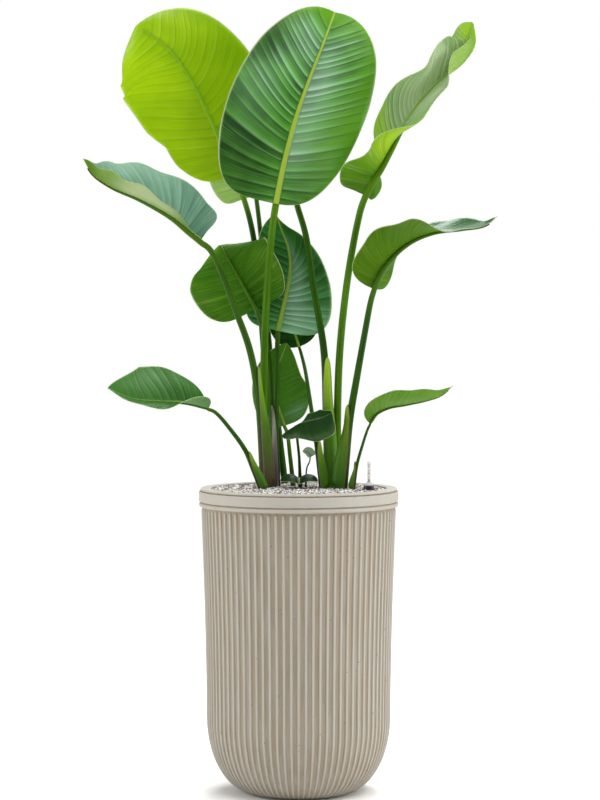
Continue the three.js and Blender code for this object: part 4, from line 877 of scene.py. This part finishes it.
# %% Make the blades
COLUMNS, SMALL_COLUMNS, SMALL = 20, 10, 90  # columns in a half, and in a half of a blade no longer than this
CROWDED = 1.4  # how much the columns crowd towards the midrib
RIDGE, RIDGE_MOST = 0.3, 1.3  # the midrib's height for its width, and the most it rises
USUAL_RIB, RIB_TAPER, RIB_EASE = 1.6, 0.75, 2.5  # half width, share lost by the tip, flat strip beside it
OPEN_FROM, OPEN_TO = 10, 50  # half widths of a blade between which its pleats grow to their full depth
USUAL_DEPTH = 0.5
BLADE_THICKNESS = 0.8
PLEAT_SPACING = {"crown": 18, "upper_left": 17, "back_left": 14, "upper_right": 15, "left": 16, "right": 24,
                 "mid_left": 14, "middle": 14, "back": 14, "inner": 12, "lower_middle": 12, "low_left": 12,
                 "low_right": 10, "cupped": 9, "seedling": 7, "sprout": 5}
PLEAT_DEPTH = {"crown": 1.3, "right": 0.35, "upper_left": 0.6, "middle": 1.2, "upper_right": 0.9,
               "mid_left": 0.6, "sprout": 0.1}
RIB_AT_BASE = {"crown": 5.6, "middle": 4.4, "back": 4, "left": 3.4, "right": 3, "upper_right": 3.4,
               "inner": 2.6, "lower_middle": 2.2, "low_left": 2.2}


def blade(name, leaf, chance):
    """One blade as a solid sheet, with what its finish reads kept on it."""
    spine = Spine(leaf)
    rows = pleat_rows(chance, spine.length, PLEAT_SPACING[name])
    columns = COLUMNS if spine.length > SMALL else SMALL_COLUMNS
    fresh()
    bpy.ops.mesh.primitive_grid_add(x_subdivisions=2 * columns, y_subdivisions=rows.shape[1] - 1, size=2)
    piece = bpy.context.object
    flat = places_of(piece)
    sign = np.where(flat[:, 0] < -1e-6, -1, 1)
    row = np.rint((flat[:, 1] + 1) / 2 * (rows.shape[1] - 1)).astype(int)
    s = rows[0, row] / spine.length
    a = np.abs(flat[:, 0]) ** CROWDED
    places, share, off = np.zeros_like(flat), np.zeros(len(flat)), np.zeros(len(flat))
    for side, half in ((-1, leaf["left"]), (1, leaf["right"])):
        mine = sign == side
        places[mine], share[mine], off[mine] = half_blade(leaf, spine, half, side, s[mine], a[mine])
    rib_width = RIB_AT_BASE.get(name, USUAL_RIB) * (1 - RIB_TAPER * s)
    open_part = smooth_step(off / np.maximum(a, 0.02), OPEN_FROM, OPEN_TO)
    full = smooth_step(off, rib_width, rib_width + RIB_EASE) * smooth_step(share, 0.05, 0.25)
    full *= 1 - 0.6 * smooth_step(a, 0.7, 1)  # pleats are lower at the margin
    full *= open_part  # a narrow part has low pleats
    height, crest, crease = (rows[k, row] * full for k in (1, 2, 3))
    # the painted shade in the creases is strongest by the midrib
    crease *= 0.65 + 0.6 * np.exp(-off / 14)  # and creases are darkest by the midrib
    shaped(piece, places * MM)
    outward = np.zeros(len(flat) * 3)
    piece.data.vertex_normals.foreach_get("vector", outward)
    ridge = np.sqrt(np.clip(1 - (off / rib_width) ** 2, 0, 1)) * np.minimum(RIDGE * rib_width, RIDGE_MOST)
    lift = PLEAT_DEPTH.get(name, USUAL_DEPTH) * height + ridge * (share > 0.01)
    shaped(piece, (places + outward.reshape(-1, 3) * lift[:, None]) * MM)
    kept_as(piece, "lamina", np.stack([s * spine.length * MM, a, off * MM], axis=1))
    # crest and crease are kept for the finish to paint highlight and shade; tone is a random tone for each
    # pleat
    kept_as(piece, "pleat", np.stack([crest, crease, rows[4, row]], axis=1))
    kept_as(piece, "zones", zones_of(name, sign, s, a))
    kept_as(piece, "rib", rib_width * MM)
    kept_as(piece, "open", open_part)
    mended(piece, outside=False)
    for finish in blade_finishes[name]:
        piece.data.materials.append(finish)
    thickened(piece, BLADE_THICKNESS, material_offset=1)
    node_name = f"leaf_{name}_blade"
    return finished(piece, f"{name}_blade", blade_finishes[name], [node_name])


chance = random.Random(21)
for name, leaf in leaves.items():
    blade(name, leaf, chance)
print("blades:", faces_of("_blade"), "faces")

# %% [markdown]
# ## The finish of a stalk
#
# A stalk is firm and smooth, with long fibres under its skin that show as fine streaks, about 1.5 mm apart.
# It is painted brighter and yellower at the neck, a painted glow where the light passes through it, and
# stalks that stand in shade are given a darker green, which is painted shade. Near the granules old sheath
# tissue turns it purple-brown. The finish reads how far up a point is and which way round it lies.

# %% Stalk finishes
def stalk_finish(name, light, deep, foot, foot_height, painted_neck_glow):
    """Green skin over long fibres, with the colour of its foot and a painted glow that makes the neck
    yellower.
    """
    made, tree = material(name)
    above, around, upward = node(tree, "SeparateXYZ", {
        "Vector": node(tree, "Attribute", attribute_name="stem")["Vector"]})
    drawn_out = node(tree, "Math", {0: above, 1: 0.6}, operation="MULTIPLY")[0]
    lines = node(tree, "CombineXYZ", {"X": around, "Y": drawn_out})[0]
    fibres = node(tree, "TexNoise", {"Vector": lines, "Scale": 16, "Detail": 3, "Roughness": 0.6},
                  noise_dimensions="2D")["Fac"]
    place = node(tree, "TexCoord")["Object"]
    blotches = node(tree, "TexNoise", {"Vector": place, "Scale": 30, "Detail": 2})["Fac"]
    streak = node(tree, "MapRange", {"Value": fibres, "From Min": 0.35, "From Max": 0.65})[0]
    low = node(tree, "Math", {0: blotches, 1: -0.05, 2: above}, operation="MULTIPLY_ADD")[0]
    old = node(tree, "MapRange", {"Value": low, "From Min": -0.03, "From Max": foot_height,
                                  "To Min": 0.95, "To Max": 0})[0]
    neck = node(tree, "MapRange", {"Value": upward, "From Min": 0.86, "To Max": painted_neck_glow})[0]
    paint = coated(tree, colour(deep), [(colour(light), streak), (colour(foot), old),
                                        (colour(0x7CA81C), neck)])
    shader, _ = skinned(tree, paint, fibres, strength=0.2, depth=0.3, roughness=0.45, gloss=0.1)
    node(tree, "OutputMaterial", {"Surface": shader})
    return made


# The yellow at each neck is a painted glow, strongest on the upper left leaf's stalk. The dark green
# finishes, and the green of the one with the purple-brown foot, are darker copies for stalks in shade:
# painted shade.
fresh_stalk = stalk_finish("smooth_green_stalk", 0x4A7600, 0x2E5600, 0x305006, 0.03, 0.2)
browned_stalk = stalk_finish("shaded_green_stalk_with_purple_brown_foot", 0x365C00, 0x1C3E00, 0x4E342C, 0.1, 0.1)
shaded_stalk = stalk_finish("shaded_dark_green_stalk", 0x305A00, 0x143800, 0x183804, 0.03, 0.1)
glowing_stalk = stalk_finish("dark_green_stalk_with_glowing_midrib", 0x305A00, 0x143800, 0x183804, 0.03, 0.8)
stalk_finishes = {"crown": fresh_stalk, "upper_right": fresh_stalk, "lower_middle": fresh_stalk,
                  "sprout": fresh_stalk, "left": browned_stalk, "upper_left": glowing_stalk}
print("made", fresh_stalk.name, browned_stalk.name, shaded_stalk.name, glowing_stalk.name)

# %% [markdown]
# ## Stalks and midribs
#
# A stalk is nearly round, with a shallow channel down its upper side. It thins from the root to the neck, and
# at the blade it turns into the midrib, which runs on under the blade and fades out before the tip. Each one
# starts as a cylinder cut into many rings, and each ring is then set across the leaf's own curve.

# %% The rings of a stalk
SURFACE = 546  # the level of the granules
PLANTED, SMALL_PLANTED, SMALL_STALK = 60, 20, 3  # depth in the granules, and of a stalk thinner than this
FIRST_RING, LAST_RING, STALK_RINGS = 0.02, 0.985, 70  # shares of the way up, and rings between them
MIDRIB_STEP, FEWEST = 7, 12  # between rings under the blade, and the fewest of them
CLEARANCE = 0.9  # from the middle of the blade to the top of the stalk under it
SUNK = 0.2  # how far the midrib's top is sunk in the blade


def ring_frames(leaf):
    """For each ring of a stalk: its middle, direction, upper side, radius, swelling and share of the way."""
    spine = Spine(leaf)
    root_radius, neck_radius, tip_radius = leaf["radii"]
    sheath_share, growth, _ = leaf["sheath"]
    place, _, up, _ = spine.frame(np.zeros(1))
    neck = place[0] - up[0] * (CLEARANCE + neck_radius)
    x, y = leaf["root"]
    places, directions, _ = curve_through([(x, y, SURFACE + 4), *leaf["petiole"], neck])
    face = np.array([*leaf["faces"][0][:2], 0.0])
    depth = SMALL_PLANTED if root_radius < SMALL_STALK else PLANTED
    rings = [((x, y, SURFACE + z), (0, 0, 1), face, root_radius, 0, 0) for z in (-depth, 2.5)]
    for t in np.linspace(FIRST_RING, LAST_RING, STALK_RINGS):
        slim = smooth_step(t, 0, sheath_share + 0.1)
        radius = root_radius + ((root_radius + neck_radius) / 2 - root_radius) * slim
        radius += (neck_radius - radius) * t
        swell = growth * (1 - smooth_step(t, sheath_share * 0.3, sheath_share))
        rings.append((at_share(places, t), at_share(directions, t), face * (1 - t) + up[0] * t,
                      radius, swell, t))
    under = np.linspace(0, MIDRIB_SHARE, max(FEWEST, round(spine.length / MIDRIB_STEP)))
    for place, forward, up, u in zip(*spine.frame(under)[:3], under):
        radius = neck_radius + (tip_radius - neck_radius) * u ** 0.8
        rings.append((place - up * (radius - SUNK), forward, up, radius, 0, 1))
    return rings


print("the crown's stalk and midrib have", len(ring_frames(leaves["crown"])), "rings")

# %% Make the stalks
STALK_SIDES = 20
CHANNEL, CHANNEL_WIDTH = 0.16, 0.45  # the channel's depth as a share of the radius, and its half angle


def stalk(name, leaf):
    """One stalk with its midrib, from its planted end to just short of the blade's tip."""
    rings = ring_frames(leaf)
    fresh()
    bpy.ops.mesh.primitive_cylinder_add(vertices=STALK_SIDES, radius=1, depth=2, end_fill_type="TRIFAN")
    piece = bpy.context.object
    bpy.ops.object.mode_set(mode="EDIT")
    bpy.ops.mesh.select_all(action="DESELECT")
    bpy.ops.mesh.select_mode(type="EDGE")
    bpy.ops.object.mode_set(mode="OBJECT")
    for edge in piece.data.edges:
        low, high = (piece.data.vertices[v].co.z for v in edge.vertices)
        edge.select = abs(low - high) > 1
    bpy.ops.object.mode_set(mode="EDIT")
    bpy.ops.mesh.subdivide(number_cuts=len(rings) - 2)
    bpy.ops.object.mode_set(mode="OBJECT")
    points = places_of(piece)
    level = np.rint((points[:, 2] + 1) / 2 * (len(rings) - 1)).astype(int)
    around = np.arctan2(points[:, 1], points[:, 0])
    on_axis = np.hypot(points[:, 0], points[:, 1]) < 0.01
    middles, forward, top, radius, swell, climbed = (np.array(part, float)[level] for part in zip(*rings))
    forward = unit(forward)
    side = unit(np.cross(forward, top))
    top = unit(np.cross(side, forward))
    outward = top * np.cos(around)[:, None] + side * np.sin(around)[:, None]
    heading = np.arctan2(outward[:, 1], outward[:, 0]) - math.radians(leaf["sheath"][2])
    grooved = smooth_step(climbed, 0.05, 0.3) * (1 - smooth_step(climbed, 0.9, 1))
    channel = 1 - CHANNEL * np.exp(-(around / CHANNEL_WIDTH) ** 2) * grooved
    reach = radius * channel + swell * np.maximum(0, np.cos(heading))
    shaped(piece, (middles + outward * np.where(on_axis, 0, reach)[:, None]) * MM)
    above = (middles[:, 2] - SURFACE) * MM
    kept_as(piece, "stem", np.stack([above, np.abs(around) / math.pi, climbed], axis=1))
    mended(piece)
    node_name = f"leaf_{name}_stalk"
    return finished(piece, f"{name}_stalk", [stalk_finishes.get(name, shaded_stalk)], [node_name])


for name, leaf in leaves.items():
    stalk(name, leaf)
print("stalks:", faces_of("_stalk"), "faces")

# %% [markdown]
# ## Sheaths
#
# At its foot a stalk is wrapped by a sheath, a thin wing on each side that once held the next leaf. Its upper
# end is a lime-green flap that stands a little off the stalk, and its drying margin is grey and purple. Each
# sheath is a grid wrapped part of the way round its stalk, wide at the granules and drawn to a point.

# %% Sheath finish
def sheath_finish(name, flap, body, low, edge):
    """Thin fibrous tissue, green in the body, brighter in the flap and dry at the margin."""
    made, tree = material(name)
    flap, body, low, edge = (colour(shade) for shade in (flap, body, low, edge))
    up, across, _ = node(tree, "SeparateXYZ", {
        "Vector": node(tree, "Attribute", attribute_name="wrap")["Vector"]})
    drawn_out = node(tree, "Math", {0: up, 1: 0.12}, operation="MULTIPLY")[0]
    lines = node(tree, "CombineXYZ", {"X": across, "Y": drawn_out})[0]
    fibres = node(tree, "TexNoise", {"Vector": lines, "Scale": 14, "Detail": 3}, noise_dimensions="2D")["Fac"]
    place = node(tree, "TexCoord")["Object"]
    patches = node(tree, "TexNoise", {"Vector": place, "Scale": 60, "Detail": 2})["Fac"]
    toward = node(tree, "Math", {0: patches, 1: 0.35, 2: across}, operation="MULTIPLY_ADD")[0]
    dry = node(tree, "MapRange", {"Value": toward, "From Min": 0.95, "From Max": 1.15})[0]
    streak = node(tree, "MapRange", {"Value": fibres, "From Min": 0.35, "From Max": 0.65, "To Max": 0.2})[0]
    rising = node(tree, "MapRange", {"Value": up, "From Min": 0.5, "From Max": 0.95})[0]
    down = node(tree, "MapRange", {"Value": up, "From Min": 0.02, "From Max": 0.5,
                                   "To Min": 0.95, "To Max": 0})[0]
    paint = coated(tree, body, [(flap, rising), (flap, streak), (low, down), (edge, dry)])
    skin, _ = skinned(tree, paint, fibres, strength=0.3, depth=0.4, roughness=0.5, gloss=0.25)
    through = node(tree, "BsdfTranslucent", {"Color": paint})[0]
    both = node(tree, "MixShader", {0: 0.2, 1: skin, 2: through})[0]
    node(tree, "OutputMaterial", {"Surface": both})
    return made


lime_sheath = sheath_finish("green_sheath_with_lime_flap", 0x98BC1C, 0x447C02, 0x3A6A02, 0x86707A)
old_sheath = sheath_finish("green_sheath_with_purple_brown_foot", 0x74A408, 0x406E02, 0x5A4034, 0x7E6A70)
pale_sheath = sheath_finish("papery_sheath_gone_grey", 0xA0A890, 0x6A5C58, 0x54403C, 0x8A7880)
brown_sheath = sheath_finish("green_sheath_with_brown_margin", 0x7EA224, 0x447408, 0x2E6210, 0x745440)
print("made", lime_sheath.name, old_sheath.name, pale_sheath.name, brown_sheath.name)

# %% Make the sheaths
SHEATH_THICKNESS, SNUG, MARGIN_LIFT = 0.9, 0.7, 0.9  # its gap from the stalk, and how its margins lift
SHEATHS = {  # finish, height of the flap's tip, heading and half spread in degrees, how far it stands off
    "left": (old_sheath, 224, -25, 75, 2.1),
    "middle": (pale_sheath, 150, 200, 100, 1.8),
    "back": (lime_sheath, 240, -60, 85, 2.4),
    "right": (brown_sheath, 154, 215, 80, 2.1),
    "inner": (lime_sheath, 88, -40, 80, 1.8),
    "low_left": (brown_sheath, 70, -30, 80, 1.2),
    "low_right": (brown_sheath, 52, 200, 80, 1.08),
}


def sheath(name, finish, tip, heading, spread, stand_off):
    """A wing wrapped round the foot of a stalk, with a pointed flap."""
    leaf = leaves[name]
    rings = [ring for ring in ring_frames(leaf) if SURFACE - 6 < ring[0][2] and ring[5] < 0.95]
    middles, _, _, radii, swell, _ = (np.array(part, float) for part in zip(*rings))
    fresh()
    bpy.ops.mesh.primitive_grid_add(x_subdivisions=16, y_subdivisions=44, size=2)
    piece = bpy.context.object
    across, up, _ = places_of(piece).T
    up = (up + 1) / 2
    z = SURFACE - 4 + up * (tip + 4)
    angle = np.radians(heading + across * spread * np.sqrt(np.clip(1 - up ** 3, 0, 1)))
    x, y, thick, swollen = (np.interp(z, middles[:, 2], values)
                            for values in (middles[:, 0], middles[:, 1], radii, swell))
    bulge = swollen * np.maximum(0, np.cos(angle - math.radians(leaf["sheath"][2])))
    reach = thick + bulge + SNUG + stand_off * smooth_step(up, 0.6, 1) + MARGIN_LIFT * np.abs(across) ** 4
    shaped(piece, np.stack([x + reach * np.cos(angle), y + reach * np.sin(angle), z], axis=1) * MM)
    kept_as(piece, "wrap", np.stack([up, np.abs(across), np.zeros_like(up)], axis=1))
    mended(piece, outside=False)
    thickened(piece, SHEATH_THICKNESS)
    return finished(piece, f"{name}_sheath", [finish])


for name, measures in SHEATHS.items():
    sheath(name, *measures)
print(len(SHEATHS), "sheaths of", faces_of("_sheath"), "faces")

# %% [markdown]
# ## The water-level gauge
#
# The gauge is a float in a tube. The tube is dark plastic down in the granules, with a wider cap at their
# surface whose dome is clear. Above it stands a clear tube, where the red tip of the float's rod shows, and
# inside it are two yellow marks. Moulded plastic has rounded edges, so each section is drawn with small arcs
# and spun, and it is smooth enough to mirror the lamps, apart from a little dust.

# %% Plastics
def moulded_plastic(name, shade, roughness, clear_from=None):
    """Dyed plastic with dust in specks of 2.5 mm. Above a height it can be clear, as a cap's dome is."""
    made, tree = material(name)
    place = node(tree, "TexCoord")["Object"]
    haze = node(tree, "TexNoise", {"Vector": place, "Scale": 400, "Detail": 2})["Fac"]
    dust = node(tree, "MapRange", {"Value": haze, "From Min": 0.45, "From Max": 0.75, "To Max": 0.12})[0]
    coats = [(colour(0x8E8488), dust)]
    if clear_from is not None:
        height = node(tree, "SeparateXYZ", {"Vector": place})["Z"]
        clearing = node(tree, "MapRange", {"Value": height, "From Min": clear_from * MM,
                                           "From Max": (clear_from + 2.5) * MM, "To Max": 0.9})[0]
        coats.append((colour(0xC4C0CC), clearing))
    paint = coated(tree, colour(shade), coats)
    shader, _ = skinned(tree, paint, haze, strength=0.1, depth=0.2, roughness=roughness, gloss=0.3)
    node(tree, "OutputMaterial", {"Surface": shader})
    return made


def clear_plastic():
    """Clear styrene, a little grey with dust and nearly all see-through."""
    made, tree = material("clear_moulded_styrene")
    shader = node(tree, "BsdfPrincipled", {"Base Color": colour(0xB4B2B4), "Roughness": 0.12, "IOR": 1.5,
                                           "Alpha": 0.24})[0]
    node(tree, "OutputMaterial", {"Surface": shader})
    return made


dark = moulded_plastic("aubergine_polypropylene", 0x26161E, 0.28, clear_from=555)
red = moulded_plastic("red_float_plastic", 0xB02A1C, 0.4)
yellow = moulded_plastic("yellow_printed_mark", 0xD8C25A, 0.5)
clear = clear_plastic()
print("made", dark.name, red.name, yellow.name, clear.name)

# %% Gauge sizes
GAUGE_X, GAUGE_Y, GAUGE_STEPS = 126, -33, 48
GAUGE_BOTTOM, GAUGE_WALL, RISER_RADIUS, CAP_RADIUS = 92, 2, 8, 9.5
CAP_TOP, DOME_HEIGHT, TUBE_RADIUS, TUBE_BORE, TUBE_TOP = 552.5, 10.5, 3.3, 2.1, 599
FLOAT_RADIUS, FLOAT_LENGTH, ROD_RADIUS, TIP_RADIUS, TIP_LENGTH = 5.2, 70, 0.9, 1.5, 4
EDGE, PLAY = 1.2, 0.3  # the radius of a moulded edge, and the room between two pieces
MARK_HEIGHTS, MARK_HALF, MARK_IN, MARK_OUT = (577.5, 591), 0.8, 0.45, 0.05  # a mark lies inside the bore


def on_gauge(name, section, finish, nodes=(), body=PLANT):
    """A piece of the gauge, spun on its own axis and then set in its place."""
    piece = spun(name, section, GAUGE_STEPS)
    shaped(piece, places_of(piece) + np.array([GAUGE_X, GAUGE_Y, 0]) * MM)
    return finished(piece, name, [finish], nodes, body, sharp=35)


print("the gauge is", TUBE_TOP - GAUGE_BOTTOM, "mm long")

# %% Make the gauge
bore = RISER_RADIUS - GAUGE_WALL
cap_bottom = SURFACE - 8
dome_top = CAP_TOP + DOME_HEIGHT
floor = GAUGE_BOTTOM + GAUGE_WALL
riser = [(0, GAUGE_BOTTOM), (RISER_RADIUS, GAUGE_BOTTOM), (RISER_RADIUS, cap_bottom)]
riser += arc((CAP_RADIUS - EDGE, cap_bottom + EDGE), EDGE, -90, 0, 4)
riser += [(CAP_RADIUS * math.cos(a), CAP_TOP + (DOME_HEIGHT - 1) * math.sin(a))
          for a in (math.radians(angle) for angle in range(0, 61, 10))]
riser += [(TUBE_RADIUS + 0.8, dome_top - 0.8), (TUBE_RADIUS + 0.6, dome_top), (TUBE_BORE, dome_top)]
riser += [(TUBE_BORE, dome_top - 3), (bore, CAP_TOP), (bore, floor), (0, floor)]
on_gauge("gauge_tube_and_cap", riser, dark, ["gauge_riser"])

foot = dome_top + PLAY
sight = [(TUBE_BORE, foot), (TUBE_RADIUS, foot)]
sight += arc((TUBE_RADIUS - EDGE, TUBE_TOP - EDGE), EDGE, 0, 90, 5)
sight += [(0, TUBE_TOP), (0, TUBE_TOP - 2), (TUBE_BORE, TUBE_TOP - 2), (TUBE_BORE, foot)]
on_gauge("gauge_clear_tube", sight, clear, ["gauge_sight_tube"])

low, tip = floor + PLAY, dome_top + TIP_LENGTH
rod = [(0, low), (FLOAT_RADIUS - 1, low), (FLOAT_RADIUS, low + 1), (FLOAT_RADIUS, low + FLOAT_LENGTH)]
rod += [(ROD_RADIUS, low + FLOAT_LENGTH + 3), (ROD_RADIUS, dome_top), (TIP_RADIUS, dome_top + 0.6)]
rod += [(TIP_RADIUS, tip), (0.8, tip + 0.5), (0, tip + 0.6)]
on_gauge("gauge_float_and_rod", rod, red, ["gauge_float"], FLOAT)

for number, middle in enumerate(MARK_HEIGHTS, 1):
    inner, outer = TUBE_BORE - MARK_IN, TUBE_BORE - MARK_OUT
    ring = [(inner, middle - MARK_HALF - 0.1), (outer, middle - MARK_HALF)]
    ring += [(outer, middle + MARK_HALF), (inner, middle + MARK_HALF + 0.1), ring[0]]
    on_gauge(f"gauge_mark_{number}", ring, yellow)

# %% [markdown]
# ## Scattering the grains
#
# Thousands of grains are quickest as one mesh, with every grain a turned and squashed copy of the same ball.
# Each draws all its numbers, whether or not it is then left out for a stalk or the rim, so one that is
# moved doesn't change the rest.

# %% Scatter the loose grains
GRAIN_SPACING, ROW_SHARE, JITTER = 3.3, 0.92, 0.35
GRAIN_SIZES = (1.1, 1.4, 1.7, 2.1, 2.6)
grain_chance = random.Random(7)
fresh()
bpy.ops.mesh.primitive_ico_sphere_add(subdivisions=1, radius=1)
ball = bpy.context.object
grain_points = places_of(ball)
grain_faces = np.array([face.vertices[:] for face in ball.data.polygons])
bpy.data.objects.remove(ball)
stems = [(leaf["root"], leaf["radii"][0]) for leaf in leaves.values()]
stems.append(((GAUGE_X, GAUGE_Y), CAP_RADIUS))
all_points, all_faces, all_stones = [], [], []
reach = OPENING_RADIUS - 2
steps = int(reach / GRAIN_SPACING)
for row in range(-steps, steps + 1):
    for column in range(-steps, steps + 1):
        x = (column + 0.5 * (row % 2) + grain_chance.uniform(-JITTER, JITTER)) * GRAIN_SPACING
        y = (row * ROW_SHARE + grain_chance.uniform(-JITTER, JITTER)) * GRAIN_SPACING
        size = grain_chance.choice(GRAIN_SIZES)
        lift = grain_chance.uniform(-0.6, 1.2)
        turn = [grain_chance.uniform(0, math.tau) for _ in range(3)]
        stretch = np.array([grain_chance.uniform(0.75, 1.25) for _ in range(3)])
        stone = grain_chance.random()
        if math.hypot(x, y) > reach - size:
            continue
        if any(math.hypot(x - r[0], y - r[1]) < thick + 0.4 * size for r, thick in stems):
            continue
        turned = np.array(Euler(turn, "ZYX").to_matrix())
        all_faces.append(grain_faces + len(grain_points) * len(all_points))
        all_points.append((grain_points * stretch * size) @ turned.T + np.array([x, y, SURFACE + lift]))
        all_stones.append(np.full(len(grain_points), stone))
mesh = bpy.data.meshes.new("loose_granules")
mesh.from_pydata((np.vstack(all_points) * MM).tolist(), [], np.vstack(all_faces).tolist())
granules = in_scene("loose_granules", mesh)
kept_as(granules, "stone", np.concatenate(all_stones))
finished(granules, "loose_granules", [loose_stone], sharp=5)
print(len(all_points), "grains,", len(mesh.polygons), "faces")

# %% [markdown]
# ## Floor, light and camera
#
# The plant stands on a pale floor in soft studio light: a wide overhead light from the right, a
# window-like lamp on each side and one above and behind it, which shines through the upper leaves. The room
# is darker than the white that the camera sees round the plant, so that dark leaves stay dark. The camera
# stands four and a half metres away, at the height of the lower leaves.

# %% Floor and room
ROOM_LOW, ROOM_HIGH = 0.22, 0.6  # the room's light from below and from above
fresh()
bpy.ops.mesh.primitive_plane_add(size=30, location=(0, 0, 0))
ground = bpy.context.object
ground.name = "studio_floor"
paper, tree = material("white_seamless_paper")
sheet = node(tree, "BsdfPrincipled", {"Base Color": colour(0xF3F3F2), "Roughness": 0.9})[0]
node(tree, "OutputMaterial", {"Surface": sheet})
ground.data.materials.append(paper)

world = bpy.data.worlds.new("white_studio")
world.use_nodes = True
room = world.node_tree
room.nodes.clear()
facing_up = node(room, "SeparateXYZ", {"Vector": node(room, "TexCoord")["Generated"]})["Z"]
room_light = node(room, "MapRange", {"Value": facing_up, "From Min": -0.3, "To Min": ROOM_LOW,
                                     "To Max": ROOM_HIGH})[0]
seen_directly = node(room, "LightPath")["Is Camera Ray"]
strength = node(room, "Mix", {0: seen_directly, 2: room_light, 3: 1.0}, data_type="FLOAT")[0]
sky = node(room, "Background", {"Color": (1, 1, 1, 1), "Strength": strength})[0]
node(room, "OutputWorld", {"Surface": sky})
bpy.context.scene.world = world
print("floor and room made")

# %% Lamps and camera
LENS = 112.3
CAMERA_PLACE, CAMERA_AIM, LAMP_AIM = (0.0025, -4.5, 0.868), (0.0025, 0, 0.708), (0, 0, 0.8)


def aimed(made, place, target):
    """Sets a lamp or a camera in its place and turns it to what it looks at."""
    made.location = place
    made.rotation_euler = (Vector(target) - made.location).to_track_quat("-Z", "Y").to_euler()


def lamp(name, kind, place, strength, **settings):
    """A lamp aimed at the middle of the plant."""
    data = bpy.data.lights.new(name, kind)
    data.energy = strength
    for setting, value in settings.items():
        setattr(data, setting, value)
    aimed(in_scene(name, data), place, LAMP_AIM)


lamp("overhead_right", "SUN", (0.2, -0.25, 1.75), 2.4, angle=math.radians(50))
lamp("window_left", "AREA", (-2.8, -0.3, 1.2), 38, size=1.6)
lamp("window_right", "AREA", (2.7, -0.4, 1.3), 36, size=1.6)
lamp("rim_above", "AREA", (0.2, 1.8, 2.8), 66, size=1.4)
bpy.context.scene.view_settings.view_transform = "Standard"

camera = in_scene("camera", bpy.data.cameras.new("camera"))
camera.data.lens = LENS
aimed(camera, CAMERA_PLACE, CAMERA_AIM)
bpy.context.scene.camera = camera
print("camera at", [round(v, 3) for v in camera.location])
